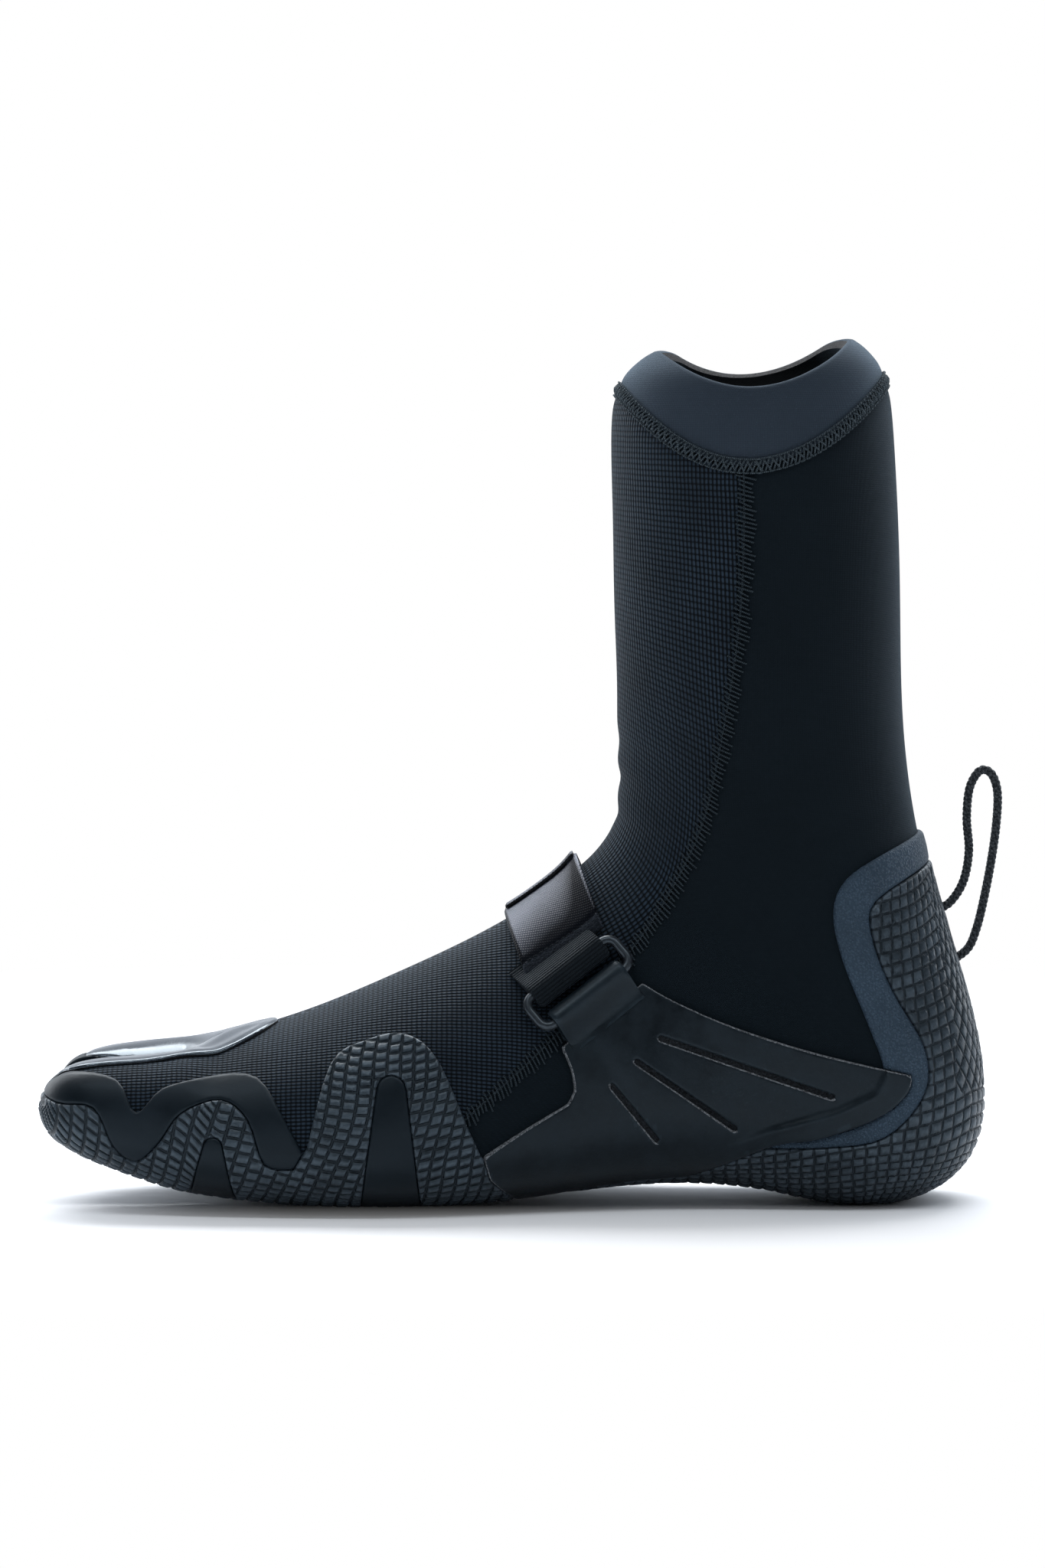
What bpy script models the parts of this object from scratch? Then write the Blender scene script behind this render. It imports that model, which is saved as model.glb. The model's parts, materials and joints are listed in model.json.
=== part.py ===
"""Split-toe neoprene boot, right foot.

All sizes are millimetres; only the finished meshes are in metres. +Z is up, the toes
point to -X and the inner (medial) side of the foot is -Y. The meshes' origin is on the
ground in the middle of the flat patch under the heel, at REST in the tables.

Every sheet piece is a region of one boot skin, raised or sunk by its own thickness, so
neighbouring sheets follow the same curves and keep their gaps.
"""
import math
from collections import namedtuple

import bpy
import numpy as np
from mathutils import Vector
from mathutils.bvhtree import BVHTree

MM = 0.001
REST = (19.0, 4.0, 0.0)  # the meshes' origin, in the tables' frame

# ---------------------------------------------------------------- layers
NEOPRENE = 5.0          # sheet thickness of the upper, lining included
TOE_NEOPRENE = NEOPRENE - 1.2
LIFT = 0.3              # air between two layers
RUBBER = 1.9            # thickness of the moulded rubber parts
STRIP_RUBBER = 1.3      # thickness of the strip over the toe split
COUNTER = 1.6           # thickness of the heel counter
THREAD = 0.7            # height of a seam thread above the cloth

# Heights above the skin of a sheet's lower and upper face.
CLOTH_LAYER = (-NEOPRENE, 0)
TOE_CLOTH_LAYER = (-TOE_NEOPRENE, 0)
RUBBER_LAYER = (LIFT, LIFT + RUBBER)
STRIP_LAYER = (LIFT, LIFT + STRIP_RUBBER)
COUNTER_LAYER = (LIFT, LIFT + COUNTER)
THREAD_LAYER = (LIFT, LIFT + THREAD)

GAP = 0.2               # half of the gap between two neighbours in one layer
SEAM_HALF = 1.5         # half width of a seam thread
COLLAR_SEAM_HALF = 2.2
SEAM_TO_COLLAR = 2.6    # from the top of a leg seam to the collar line
SEAM_TO_RUBBER = 0.6
SNAP = 0.08             # a skin point this near a cut counts as inside it
SOLE_FLAT = 0.9         # outsole points below this height are pressed to the ground
HEEL_FLAT = 1.8         # the same for the heel cup

# ---------------------------------------------------------------- skin and joints
HALF = 11               # steps from sole to instep on each side
WALL = 3                # steps down the wall between the toe lobes
STATIONS_TOE = 7
STATIONS_BODY = 25

SPLIT_X, SPLIT_Y = -178.0, -4.5      # where the two toe lobes part
LOBE_BLEND = 15.0                    # length over which a lobe turns from flat-walled to round
LOBE_CORNER = math.radians(38)       # where a round lobe slice passes into the split wall
LOBE_FULLNESS, LOBE_WIDEST = 2.5, .45

ANKLE_X, ANKLE_Z = -13.0, 124.0      # ankle bending axis, along Y
ANKLE_FRONT, ANKLE_BACK = 11.0, 8.5  # half clearance angles in front and behind, degrees
ANKLE_CLEAR = 1.0                    # half clearance at the axis
BALL_X, BALL_Z = -155.0, 9.0         # forefoot bending axis, along Y
BALL_TOP, BALL_LOW = 11.0, 4.0       # half clearance angles above and below, degrees
BALL_CLEAR = 0.8

# Lowest point of a line round the leg, x and z, then how fast it rises
# in front of and behind that point.
COLLAR_LINE = (-19.0, 228.0, .0158, .0133)
RIM_LINE = (-18.0, 252.6, .0154, .0138)

SEAM_BREAK_Z = 72.0     # the instep seam is above this height, the quarter seam below
HEEL_CUP_X = -38.0      # where the midfoot outsole meets the heel cup
TOE_PATCH_EDGE = {"inner": 14, "outer": 6}  # nearest distance of a toe patch to y = 0

# One slice of the boot per row: sole or back-of-leg point x, z; instep or shin point
# x, z; inner and outer half width; centre y; fullness below and above; height of the
# widest place as a share of the slice.
SLICES = [
    (-178, 4.5, -178, 50.8, 45, 53, -4.5, 3.0, 2.4, .42),
    (-155, 2.2, -153, 58, 48.5, 55, -3.5, 3.2, 2.3, .38),
    (-128, 2.0, -128, 69, 50, 54.5, -3, 3.3, 2.2, .34),
    (-100, 2.0, -106, 79, 46, 51.5, -2, 3.3, 2.15, .33),
    (-72, 5.4, -88, 88.5, 40, 47, 0, 3.2, 2.1, .34),
    (-42, 8.6, -75, 98, 36.5, 42.5, 0, 3.0, 2.1, .36),
    (-12, 6.4, -65.5, 106, 35.5, 39, 0, 3.0, 2.1, .36),
    (9, .4, -61.5, 111, 36, 38.5, 0, 3.0, 2.1, .34),
    (28, .2, -59, 115, 36.5, 38, 0, 3.0, 2.1, .34),
    (45.5, 6.6, -57.4, 120, 37, 37.5, 0, 2.8, 2.1, .34),
    (54.6, 19, -57, 127, 36.5, 37, 0, 2.5, 2.1, .36),
    (55.6, 37, -57, 133, 35.5, 36, 0, 2.3, 2.1, .39),
    (52, 57, -57, 140, 34.5, 35, 0, 2.2, 2.1, .42),
    (46, 77, -57, 147, 34.5, 35, 0, 2.1, 2.1, .46),
    (39, 100, -57, 155, 35, 35.5, 0, 2.1, 2.1, .48),
    (34, 121, -57.2, 164, 36.5, 37, 0, 2.1, 2.1, .5),
    (31, 146, -57.6, 176, 38.5, 39, 0, 2.1, 2.1, .5),
    (30.3, 175, -58, 193, 40, 40.5, 0, 2.1, 2.1, .5),
    (29.6, 205, -58.6, 213, 41, 41.5, 0, 2.1, 2.1, .5),
    (28.5, 235, -59.5, 235, 41.5, 42, 0, 2.1, 2.1, .5),
    (26.8, 255, -58.5, 252, 41, 41.5, 0, 2.1, 2.1, .5),
    (20.5, 263, -51, 259.5, 37, 37.5, 0, 2.1, 2.1, .5),
    (13.0, 269, -42, 265.5, 31, 31.5, 0, 2.1, 2.1, .5),
]
# One slice of a toe lobe per row: x; low z; high z; outer y; y beside the split.
BIG_TOE = [
    (-233.3, 31, 31, -24, -24), (-232, 26, 37.5, -32, -16.5), (-227.5, 21.5, 42.5, -39, -11.5),
    (-218, 17, 45, -43.5, -9.5), (-204, 12, 45.6, -46, -9), (-190, 7.6, 46.8, -48, -8),
    (-178, 4.5, 50.8, -49.5, -4.5)]
OTHER_TOES = [
    (-231, 30, 30, 7, 7), (-229.5, 24.5, 38, 14, 1), (-224, 20, 43, 23, -0.5),
    (-213, 15, 45, 32, -0.5), (-200, 11, 46, 40.5, 0), (-189, 7.4, 47, 46, -1),
    (-178, 4.5, 50.8, 48.5, -4.5)]

# ---------------------------------------------------------------- strap, rings, loop
STRAP_WIDTH = 29.0
STRAP_CENTRE = np.array((-66.0, -.5, 59.4))    # point inside the foot the strap winds round
STRAP_UP = np.array((-0.361, 0, 0.933))        # from that point to the crest of the instep
STRAP_ACROSS = np.array((0.755, 0, 0.656))     # along the width of the strap
RAY_START = 130.0                              # from the centre to well outside the skin

RING_LONG, RING_SHORT = 37.0, 14.0             # outside size of a ring
RING_BAR = 1.35                                # radius of its bar
RING_CORNER = 3.2                              # corner radius of the bar's centre line
RING_ANGLE = 72.0                              # how far round the foot the rings sit, degrees
RING_LIFT = 4.6                                # ring centre above the skin
SLEEVE_LENGTH, SLEEVE_PLAY = 27.0, 0.4
WEBBING_OUTER, KEEPER_OUTER = RING_BAR + 1.6, RING_BAR + 2.0

CORD = 1.2                                     # radius of the pull loop's cord
# Centre line of the pull loop, x and z; it ends at the loop's pivot.
LOOP_POINTS = [(48.4, 93.0), (51, 99), (51.8, 108), (51, 118), (51.8, 127), (56, 133.4),
               (60.6, 127), (60.4, 117), (59, 106), (56.8, 94), (54.4, 84), (52.3, 77.0)]

# ---------------------------------------------------------------- finishes
Finish = namedtuple("Finish", "colour roughness")
KNIT = Finish(colour=(.035, .038, .036), roughness=.85)
JERSEY = Finish(colour=(.022, .024, .027), roughness=.8)
SLATE = Finish(colour=(.085, .105, .125), roughness=.65)
BLACK_RUBBER = Finish(colour=(.02, .022, .024), roughness=.5)
SMOOTH_RUBBER = Finish(colour=(.016, .017, .019), roughness=.38)
WEBBING = Finish(colour=(.018, .019, .021), roughness=.55)
PLASTIC = Finish(colour=(.02, .02, .021), roughness=.4)
STITCH = Finish(colour=(.012, .012, .013), roughness=.7)


# ---------------------------------------------------------------- outlines
def through(points, steps=4):
    """A Catmull-Rom curve through hand-set points."""
    points = np.array(points, float)
    padded = np.vstack([points[0], points, points[-1]])
    curve = []
    for a, b, c, d in zip(padded, padded[1:], padded[2:], padded[3:]):
        for k in range(steps):
            t = k / steps
            curve.append(.5 * (2 * b + (c - a) * t + (2 * a - 5 * b + 4 * c - d) * t * t
                               + (3 * b - 3 * c + d - a) * t ** 3))
    curve.append(points[-1])
    return np.array(curve)


def window(low, low_width, high, high_width):
    """A tapered window with a round top, between two x, z points."""
    low, high = np.array(low, float), np.array(high, float)
    up = (high - low) / np.linalg.norm(high - low)
    across = np.array((-up[1], up[0]))
    cap = [high + high_width / 2 * (across * math.cos(angle) + up * math.sin(angle))
           for angle in np.linspace(0, math.pi, 7)]
    return np.array([low + across * low_width / 2] + cap + [low - across * low_width / 2])


# Side-view outlines, x and z. The same outline serves both sides of the boot.
# The outsole: its upper edge from the toes back to the heel, closed well outside the boot.
SOLE = np.vstack([
    through([(-238, 38), (-228, 34), (-217, 33), (-211, 22), (-204, 17.5), (-197, 23),
             (-190, 32), (-178, 35.5), (-170, 30), (-165, 17), (-156, 15.5)]),
    through([(-152, 22), (-145, 46), (-134, 53), (-122, 55), (-112, 47), (-100, 20),
             (-88, 2)]),
    [(-60, 9.5), (-32, 14)],
    through([(-14, 20), (6, 20), (24, 23), (36, 36), (36, 50), (26, 68), (20, 84),
             (21, 95), (40, 106)]),
    [(80, 108), (80, -30), (-260, -30), (-260, 38)]])
# The rubber band round the toes, above the sole's edge.
FOXING = np.vstack([
    [(-260, 36)],
    through([(-232, 38), (-224, 42.5), (-210, 41), (-204, 32), (-196, 39), (-182, 42),
             (-167, 42), (-158, 29), (-152, 18)]),
    [(-140, -30), (-260, -30)]])
# The top of the toes, for the strip beside the split.
STRIP = np.vstack([through([(-226, 43), (-212, 45), (-190, 45.5), (-176, 48), (-162, 55)]),
                   [(-150, 90), (-228, 90)]])
# The wing on the side of the midfoot.
WING = np.vstack([
    through([(-75, 51), (-72, 44), (-71, 38)]),
    through([(-73, 34), (-87, 26), (-99, 18.5)]),
    through([(-97, 12), (-86, 2)]),
    through([(-59, 6), (-32, 12.5), (-10, 21), (4, 23), (21, 29), (30, 36), (32, 42)]),
    through([(22, 44.5), (0, 50), (-22, 57), (-40, 64.5), (-50, 70)])])
COUNTER_AREA = np.vstack([
    through([(37, 115), (23, 109), (12, 102), (8, 92), (11, 77), (19, 57), (23.5, 43),
             (17, 36), (0, 30), (-16, 22)]),
    [(-16, 0), (80, 0), (80, 116)]])
# Everything in front of the seam that runs down the leg and across the foot.
FRONT = np.vstack([
    [(-20, 300)],
    through([(-20, 250), (-19.5, 206), (-21, 178), (-25, 150), (-31, 120), (-41, 98),
             (-54, 79), (-80, 51), (-104, 30), (-124, 10)]),
    [(-140, -40), (-300, -40), (-300, 300)]])
MIDFOOT_WINDOW = window((-127, -3), 20, (-126.5, 39), 9)
TOE_WINDOW = window((-181.5, 1), 17, (-180.5, 22), 6)


# ---------------------------------------------------------------- the skin
def spline(rows, t):
    """A uniform cubic B-spline down the rows that starts and ends on them."""
    p = np.array(rows, float)
    p = np.vstack([2 * p[0] - p[1], p, 2 * p[-1] - p[-2]])
    t = np.clip(np.asarray(t, float), 0, len(rows) - 1 - 1e-9)
    i = t.astype(int)
    f = (t - i)[:, None]
    return ((1 - f) ** 3 * p[i] + (3 * f ** 3 - 6 * f ** 2 + 4) * p[i + 1]
            + (-3 * f ** 3 + 3 * f ** 2 + 3 * f + 1) * p[i + 2] + f ** 3 * p[i + 3]) / 6


def even_rows(rows, count, tracked):
    """Rows respaced evenly by the travel of the points in the tracked columns."""
    fine = np.linspace(0, len(rows) - 1, 40 * len(rows))
    samples = spline(rows, fine)
    travel = np.zeros(len(fine) - 1)
    for pair in tracked:
        travel += np.sqrt((np.diff(samples[:, pair], axis=0) ** 2).sum(1))
    run = np.concatenate([[0], np.cumsum(travel)])
    return spline(rows, np.interp(np.linspace(0, run[-1], count + 1), run, fine))


def even_arc(angles, steps, height, width, low_fullness, high_fullness, widest):
    """Share of the height and distance outwards, in even steps along an oval.

    Angle 0 is the lowest point; the two halves meet at the widest place.
    """
    cosine, sine = np.cos(angles), np.sin(angles)
    below = cosine > 0
    share = np.where(below, widest - widest * np.abs(cosine) ** (2 / low_fullness),
                     widest + (1 - widest) * np.abs(cosine) ** (2 / high_fullness))
    power = np.where(below, 2 / low_fullness, 2 / high_fullness)
    out = width * np.sign(sine) * np.abs(sine) ** power
    run = np.concatenate([[0], np.cumsum(np.hypot(np.diff(share) * height, np.diff(out)))])
    at = np.linspace(0, run[-1], steps + 1)
    return np.interp(at, run, share), np.interp(at, run, out)


def half_slice(row, side):
    """Points from the sole to the instep round one side, evenly spaced."""
    low_x, low_z, high_x, high_z, inner, outer, centre_y, *shape = row
    width = inner if side < 0 else outer
    height = math.hypot(high_x - low_x, high_z - low_z)
    share, out = even_arc(np.linspace(0, math.pi, 181), HALF, height, width, *shape)
    return np.stack([low_x + share * (high_x - low_x), centre_y + side * out,
                     low_z + share * (high_z - low_z)], 1)


def lobe_slice(row, side):
    """A closed toe slice: round the outer side, then down the wall of the split."""
    x, low, high, outer, wall_y = row
    width, height = abs(outer - wall_y), high - low

    # Next to the foot: half of the first boot slice's shape, closed by a straight wall.
    half = half_slice((x, low, x, high, width, width, wall_y, *SLICES[0][7:]), side)
    down = np.linspace(0, 1, WALL + 1)[1:-1]
    straight = np.stack([np.full(WALL - 1, x), np.full(WALL - 1, wall_y),
                         high - height * down], 1)
    flat = np.vstack([half, straight])

    # Towards the tip: an oval.
    def arc(start, end, steps):
        share, out = even_arc(np.linspace(start, end, 121), steps, height, width / 2,
                              LOBE_FULLNESS, LOBE_FULLNESS, LOBE_WIDEST)
        return np.stack([np.full(len(share), x), (outer + wall_y) / 2 + side * out,
                         low + height * share], 1)

    wall_start = math.pi + LOBE_CORNER
    oval = np.vstack([arc(-LOBE_CORNER, wall_start, HALF),
                      arc(wall_start, 2 * math.pi - LOBE_CORNER, WALL)[1:-1]])
    blend = min(max((SPLIT_X - x) / LOBE_BLEND, 0), 1)
    blend = blend * blend * (3 - 2 * blend)
    return flat * (1 - blend) + oval * blend


def bridge(points, faces, ring_a, ring_b):
    """Triangles between two rings, each quad split along its shorter diagonal."""
    for k in range(len(ring_a)):
        j = (k + 1) % len(ring_a)
        quad = (ring_a[k], ring_a[j], ring_b[j], ring_b[k])
        p = [np.array(points[i]) for i in quad]
        if np.linalg.norm(p[0] - p[2]) < np.linalg.norm(p[1] - p[3]):
            faces.append((quad[0], quad[1], quad[2]))
            faces.append((quad[0], quad[2], quad[3]))
        else:
            faces.append((quad[1], quad[2], quad[3]))
            faces.append((quad[1], quad[3], quad[0]))


def build_skin():
    """The whole boot skin as points and triangles, open at the rim."""
    points, faces = [], []

    def add(ring):
        start = len(points)
        points.extend(map(tuple, ring))
        return list(range(start, start + len(ring)))

    body = []
    for row in even_rows(SLICES, STATIONS_BODY, [[0, 1], [2, 3]]):
        body.append(add(np.vstack([half_slice(row, -1), half_slice(row, 1)[-2:0:-1]])))
    for ring_a, ring_b in zip(body, body[1:]):
        bridge(points, faces, ring_a, ring_b)

    # Each lobe ends on its side of the first body ring and on a wall both lobes share.
    first = body[0]
    big_rows, other_rows = [even_rows(table, STATIONS_TOE, [[0, 1], [0, 2], [0, 3]])
                            for table in (BIG_TOE, OTHER_TOES)]
    shared_wall = add(lobe_slice(big_rows[-1], -1)[HALF + 1:])
    for side, rows, outer in ((-1, big_rows, first[:HALF + 1]),
                              (1, other_rows, [first[0]] + first[:HALF - 1:-1])):
        rings = [add(lobe_slice(row, side)) for row in rows[1:-1]] + [outer + shared_wall]
        tip_x, tip_z, _, tip_y, _ = rows[0]
        tip = add([(tip_x, tip_y, tip_z)])[0]
        start = len(faces)
        count = len(rings[0])
        for k in range(count):
            faces.append((tip, rings[0][(k + 1) % count], rings[0][k]))
        for ring_a, ring_b in zip(rings, rings[1:]):
            bridge(points, faces, ring_a, ring_b)
        if side > 0:
            faces[start:] = [face[::-1] for face in faces[start:]]

    p, f = np.array(points), np.array(faces)
    a, b, c = p[f[:, 0]], p[f[:, 1]], p[f[:, 2]]
    if np.einsum("ij,ij->i", a, np.cross(b, c)).sum() < 0:
        f = f[:, ::-1]
    return p, f


def vertex_normals(points, faces):
    a, b, c = (points[faces[:, k]] for k in range(3))
    face_normals = np.cross(b - a, c - a)
    out = np.zeros_like(points)
    for k in range(3):
        np.add.at(out, faces[:, k], face_normals)
    return out / np.maximum(np.linalg.norm(out, axis=1, keepdims=True), 1e-12)


# ---------------------------------------------------------------- fields
def signed(x, z, outline):
    """Distance to a closed outline, negative inside."""
    best = np.full(x.shape, 1e9)
    inside_outline = np.zeros(x.shape, bool)
    for (ax, az), (bx, bz) in zip(outline, np.roll(outline, -1, axis=0)):
        dx, dz = bx - ax, bz - az
        length_squared = dx * dx + dz * dz
        if length_squared < 1e-12:
            continue
        t = np.clip(((x - ax) * dx + (z - az) * dz) / length_squared, 0, 1)
        best = np.minimum(best, np.hypot(x - ax - t * dx, z - az - t * dz))
        crosses = (az > z) != (bz > z)
        # A level edge crosses nothing; the small divisor only keeps the sum finite.
        with np.errstate(divide="ignore", invalid="ignore"):
            inside_outline ^= crosses & (x < ax + (z - az) * dx / (dz if dz else 1e-12))
    return np.where(inside_outline, -best, best)


def line_height(x, line):
    """Height of the collar or rim line: half a parabola each way from its lowest point."""
    low_x, low_z, front_rise, back_rise = line
    d = x - low_x
    return low_z + np.where(d < 0, front_rise, back_rise) * d * d


def wedge(distance, angle_before, angle_after):
    """Half width of the wedge left free round a bending axis."""
    angle = np.where(distance < 0, angle_before, angle_after)
    return np.abs(distance) * np.tan(np.radians(angle))


def make_fields(x, y, z):
    """Named values over the skin, each negative inside the area it is named for."""
    ankle = wedge(x - ANKLE_X, ANKLE_FRONT, ANKLE_BACK)
    ball = wedge(z - BALL_Z, BALL_LOW, BALL_TOP)
    return {
        "leg": ANKLE_Z - z + ankle + ANKLE_CLEAR,
        "below_ankle": z - ANKLE_Z + ankle + ANKLE_CLEAR,
        "toes": x - BALL_X + ball + BALL_CLEAR,
        "behind_ball": BALL_X - x + ball + BALL_CLEAR,
        "under_collar": z - line_height(x, COLLAR_LINE),
        "under_rim": z - line_height(x, RIM_LINE),
        "front": signed(x, z, FRONT),
        "sole": signed(x, z, SOLE),
        "foxing": signed(x, z, FOXING),
        "strip": signed(x, z, STRIP),
        # The wing and the windows stay clear of the middle of the sole.
        "wing": np.maximum(signed(x, z, WING), 24 - np.abs(y)),
        "counter": signed(x, z, COUNTER_AREA),
        "midfoot_window": np.maximum(signed(x, z, MIDFOOT_WINDOW), 28 - np.abs(y + 3)),
        "toe_window": np.maximum(signed(x, z, TOE_WINDOW), 26 - np.abs(y + 5)),
        "below_seam_break": z - SEAM_BREAK_Z,
        "inner_side": y,
        "ahead_of_heel": x - HEEL_CUP_X,
        # A box round the crotch of the split, 12 wide and 24 long.
        "split": np.maximum(np.abs(y - SPLIT_Y) - 6.0, np.abs(x - SPLIT_X + 5) - 12.0),
        "middle": np.abs(y + 6) - 20.0,
    }


POINTS, FACES = build_skin()
FIELDS = make_fields(*POINTS.T)
FIELD_COLUMN = {name: 6 + i for i, name in enumerate(FIELDS)}
# Per skin point: position, normal, then one column per field.
SKIN_DATA = np.column_stack([POINTS, vertex_normals(POINTS, FACES), *FIELDS.values()])
SKIN = BVHTree.FromPolygons([Vector(p) for p in POINTS], [tuple(map(int, f)) for f in FACES])


# ---------------------------------------------------------------- cutting
# A limit is (field, sign, level): it keeps the skin where sign * field < level.
def inside(field, margin=0.0):
    return field, 1, -margin


def outside(field, margin=0.0):
    return field, -1, -margin


def astride(field, reach):
    """Two limits that keep a band this far to each side of a field's edge."""
    return (field, 1, reach), (field, -1, reach)


SIDES = (("inner", inside), ("outer", outside))  # how each side lies to "inner_side"


def clip(data, faces, f):
    """Cut the triangles where f crosses zero and keep the negative part."""
    extra, made, kept = [], {}, []

    def between(a, b):
        key = (a, b) if a < b else (b, a)
        if key not in made:
            t = f[key[0]] / (f[key[0]] - f[key[1]])
            extra.append(data[key[0]] * (1 - t) + data[key[1]] * t)
            made[key] = len(data) + len(extra) - 1
        return made[key]

    for tri in faces:
        within = [f[v] < 0 for v in tri]
        count = sum(within)
        if count == 3:
            kept.append(tuple(tri))
        elif count:
            # Start at the corner that is alone on its side of the cut.
            i = within.index(count == 1)
            a, b, c = tri[i], tri[(i + 1) % 3], tri[(i + 2) % 3]
            ab, ac = between(a, b), between(a, c)
            if count == 1:
                kept.append((a, ab, ac))
            else:
                kept.append((ab, b, c))
                kept.append((ab, c, ac))
    if extra:
        data = np.vstack([data, extra])
    return data, np.array(kept, int).reshape(-1, 3)


def largest(points, faces):
    """The largest connected patch, so that no crumb is left beside it."""
    parent = np.arange(len(points))

    def root(v):
        while parent[v] != v:
            parent[v] = parent[parent[v]]
            v = parent[v]
        return v

    for a, b, c in faces:
        parent[root(a)] = root(b)
        parent[root(b)] = root(c)
    roots = np.array([root(a) for a in faces[:, 0]])
    a, b, c = (points[faces[:, k]] for k in range(3))
    area = np.linalg.norm(np.cross(b - a, c - a), axis=1)
    patches = np.unique(roots)
    return faces[roots == patches[np.argmax([area[roots == r].sum() for r in patches])]]


def region(limits):
    """Points, normals and triangles of the skin where every limit holds."""
    data, faces = SKIN_DATA, FACES
    for field, sign, level in limits:
        f = sign * data[:, FIELD_COLUMN[field]] - level
        f = np.where(np.abs(f) < SNAP, -SNAP, f)
        data, faces = clip(data, faces, f)
    faces = largest(data[:, :3], faces)
    used = np.unique(faces)
    index = -np.ones(len(data), int)
    index[used] = np.arange(len(used))
    return data[used, :3], data[used, 3:6], index[faces]


# ---------------------------------------------------------------- objects
def make_material(name, finish):
    material = bpy.data.materials.new(name)
    material.use_nodes = True
    shader = material.node_tree.nodes["Principled BSDF"]
    shader.inputs["Base Color"].default_value = (*finish.colour, 1)
    shader.inputs["Roughness"].default_value = finish.roughness
    return material


def add_object(name, data, place):
    obj = bpy.data.objects.new(name, data)
    obj.location = (np.array(place, float) - REST) * MM
    bpy.context.scene.collection.objects.link(obj)
    return obj


def add_mesh(name, points, faces, finish, origin=REST):
    """A mesh object from millimetre points, with its origin where asked."""
    p = np.array(points, float) - np.array(origin, float)
    volume = sum(p[f[0]] @ np.cross(p[f[k]], p[f[k + 1]])
                 for f in faces for k in range(1, len(f) - 1))
    if volume < 0:
        faces = [f[::-1] for f in faces]
    mesh = bpy.data.meshes.new(name)
    mesh.from_pydata([tuple(q * MM) for q in p], [], [tuple(int(i) for i in f) for f in faces])
    mesh.update()
    mesh.shade_smooth()
    mesh.set_sharp_from_angle(angle=math.radians(40))
    mesh.materials.append(make_material(name + "_finish", finish))
    return add_object(name, mesh, origin)


def hang(obj, pivot):
    """Parent an object whose origin is at the pivot."""
    obj.location = (0, 0, 0)
    obj.parent = pivot


def sheet(name, layer, finish, *limits, flat=0.0):
    """A closed solid over a region of the skin, from one height above it to another.

    Points of the upper face below z = flat are pressed to the ground.
    """
    points, normals, faces = region(limits)
    low, high = layer
    top, bottom = points + normals * high, points + normals * low
    if flat:
        top[:, 2] = np.where(top[:, 2] < flat, 0, top[:, 2])
    edges = dict.fromkeys((tri[k], tri[(k + 1) % 3]) for tri in faces for k in range(3))
    m = len(points)
    solid = [tuple(t) for t in faces] + [(t[2] + m, t[1] + m, t[0] + m) for t in faces]
    for a, b in edges:
        if (b, a) not in edges:
            solid.append((b, a, a + m))
            solid.append((b, a + m, b + m))
    return add_mesh(name, np.vstack([top, bottom]), solid, finish)


def skin_rings(rings, sides, closed):
    """Quads along rings of points, joined end to end or capped."""
    faces = []
    for i in range(rings if closed else rings - 1):
        a, b = i * sides, ((i + 1) % rings) * sides
        for k in range(sides):
            j = (k + 1) % sides
            faces.append((a + k, a + j, b + j, b + k))
    if not closed:
        faces.append(tuple(range(sides))[::-1])
        faces.append(tuple((rings - 1) * sides + k for k in range(sides)))
    return faces


def tube(name, path, radius, sides, finish, origin, reference, closed=False):
    """A round bar along a path; its first side faces the reference direction."""
    path, reference = np.array(path, float), np.array(reference, float)
    n = len(path)
    points = []
    for i in range(n):
        if closed:
            tangent = path[(i + 1) % n] - path[i - 1]
        else:
            tangent = path[min(i + 1, n - 1)] - path[max(i - 1, 0)]
        tangent /= np.linalg.norm(tangent)
        a = reference - tangent * (reference @ tangent)
        a /= np.linalg.norm(a)
        b = np.cross(tangent, a)
        for k in range(sides):
            angle = 2 * math.pi * k / sides
            points.append(path[i] + radius * (a * math.cos(angle) + b * math.sin(angle)))
    return add_mesh(name, points, skin_rings(n, sides, closed), finish, origin)


# ---------------------------------------------------------------- upper
def build_upper():
    sheet("collar_band", CLOTH_LAYER, JERSEY, inside("under_rim"), outside("under_collar", GAP))
    leg = (inside("leg"), inside("under_collar", GAP))
    sheet("shin_panel", CLOTH_LAYER, KNIT, *leg, inside("front", GAP))
    sheet("calf_panel", CLOTH_LAYER, JERSEY, *leg, outside("front", GAP))
    sheet("vamp_panel", CLOTH_LAYER, KNIT, inside("below_ankle"), inside("behind_ball"),
          inside("front", GAP))
    for side, keep in SIDES:
        sheet("quarter_panel_" + side, CLOTH_LAYER, JERSEY, inside("below_ankle"),
              outside("front", GAP), inside("behind_ball"), keep("inner_side", GAP))
    sheet("toe_upper", TOE_CLOTH_LAYER, KNIT, inside("toes"))


# ---------------------------------------------------------------- rubber
def build_toe_rubber():
    sheet("toe_outsole", RUBBER_LAYER, BLACK_RUBBER, inside("toes"), inside("sole", GAP),
          outside("split", GAP), outside("toe_window", GAP), flat=SOLE_FLAT)
    for side, keep in SIDES:
        sheet("toe_insert_" + side, RUBBER_LAYER, SMOOTH_RUBBER, inside("toe_window", GAP),
              keep("inner_side"))
        sheet("toe_patch_" + side, RUBBER_LAYER, SMOOTH_RUBBER, inside("toes"),
              inside("foxing", GAP), outside("sole", GAP),
              keep("inner_side", TOE_PATCH_EDGE[side]))
    sheet("toe_split_strip", STRIP_LAYER, SMOOTH_RUBBER, inside("toes"), inside("strip", GAP),
          outside("foxing", GAP), outside("split", GAP), inside("middle"))


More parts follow.
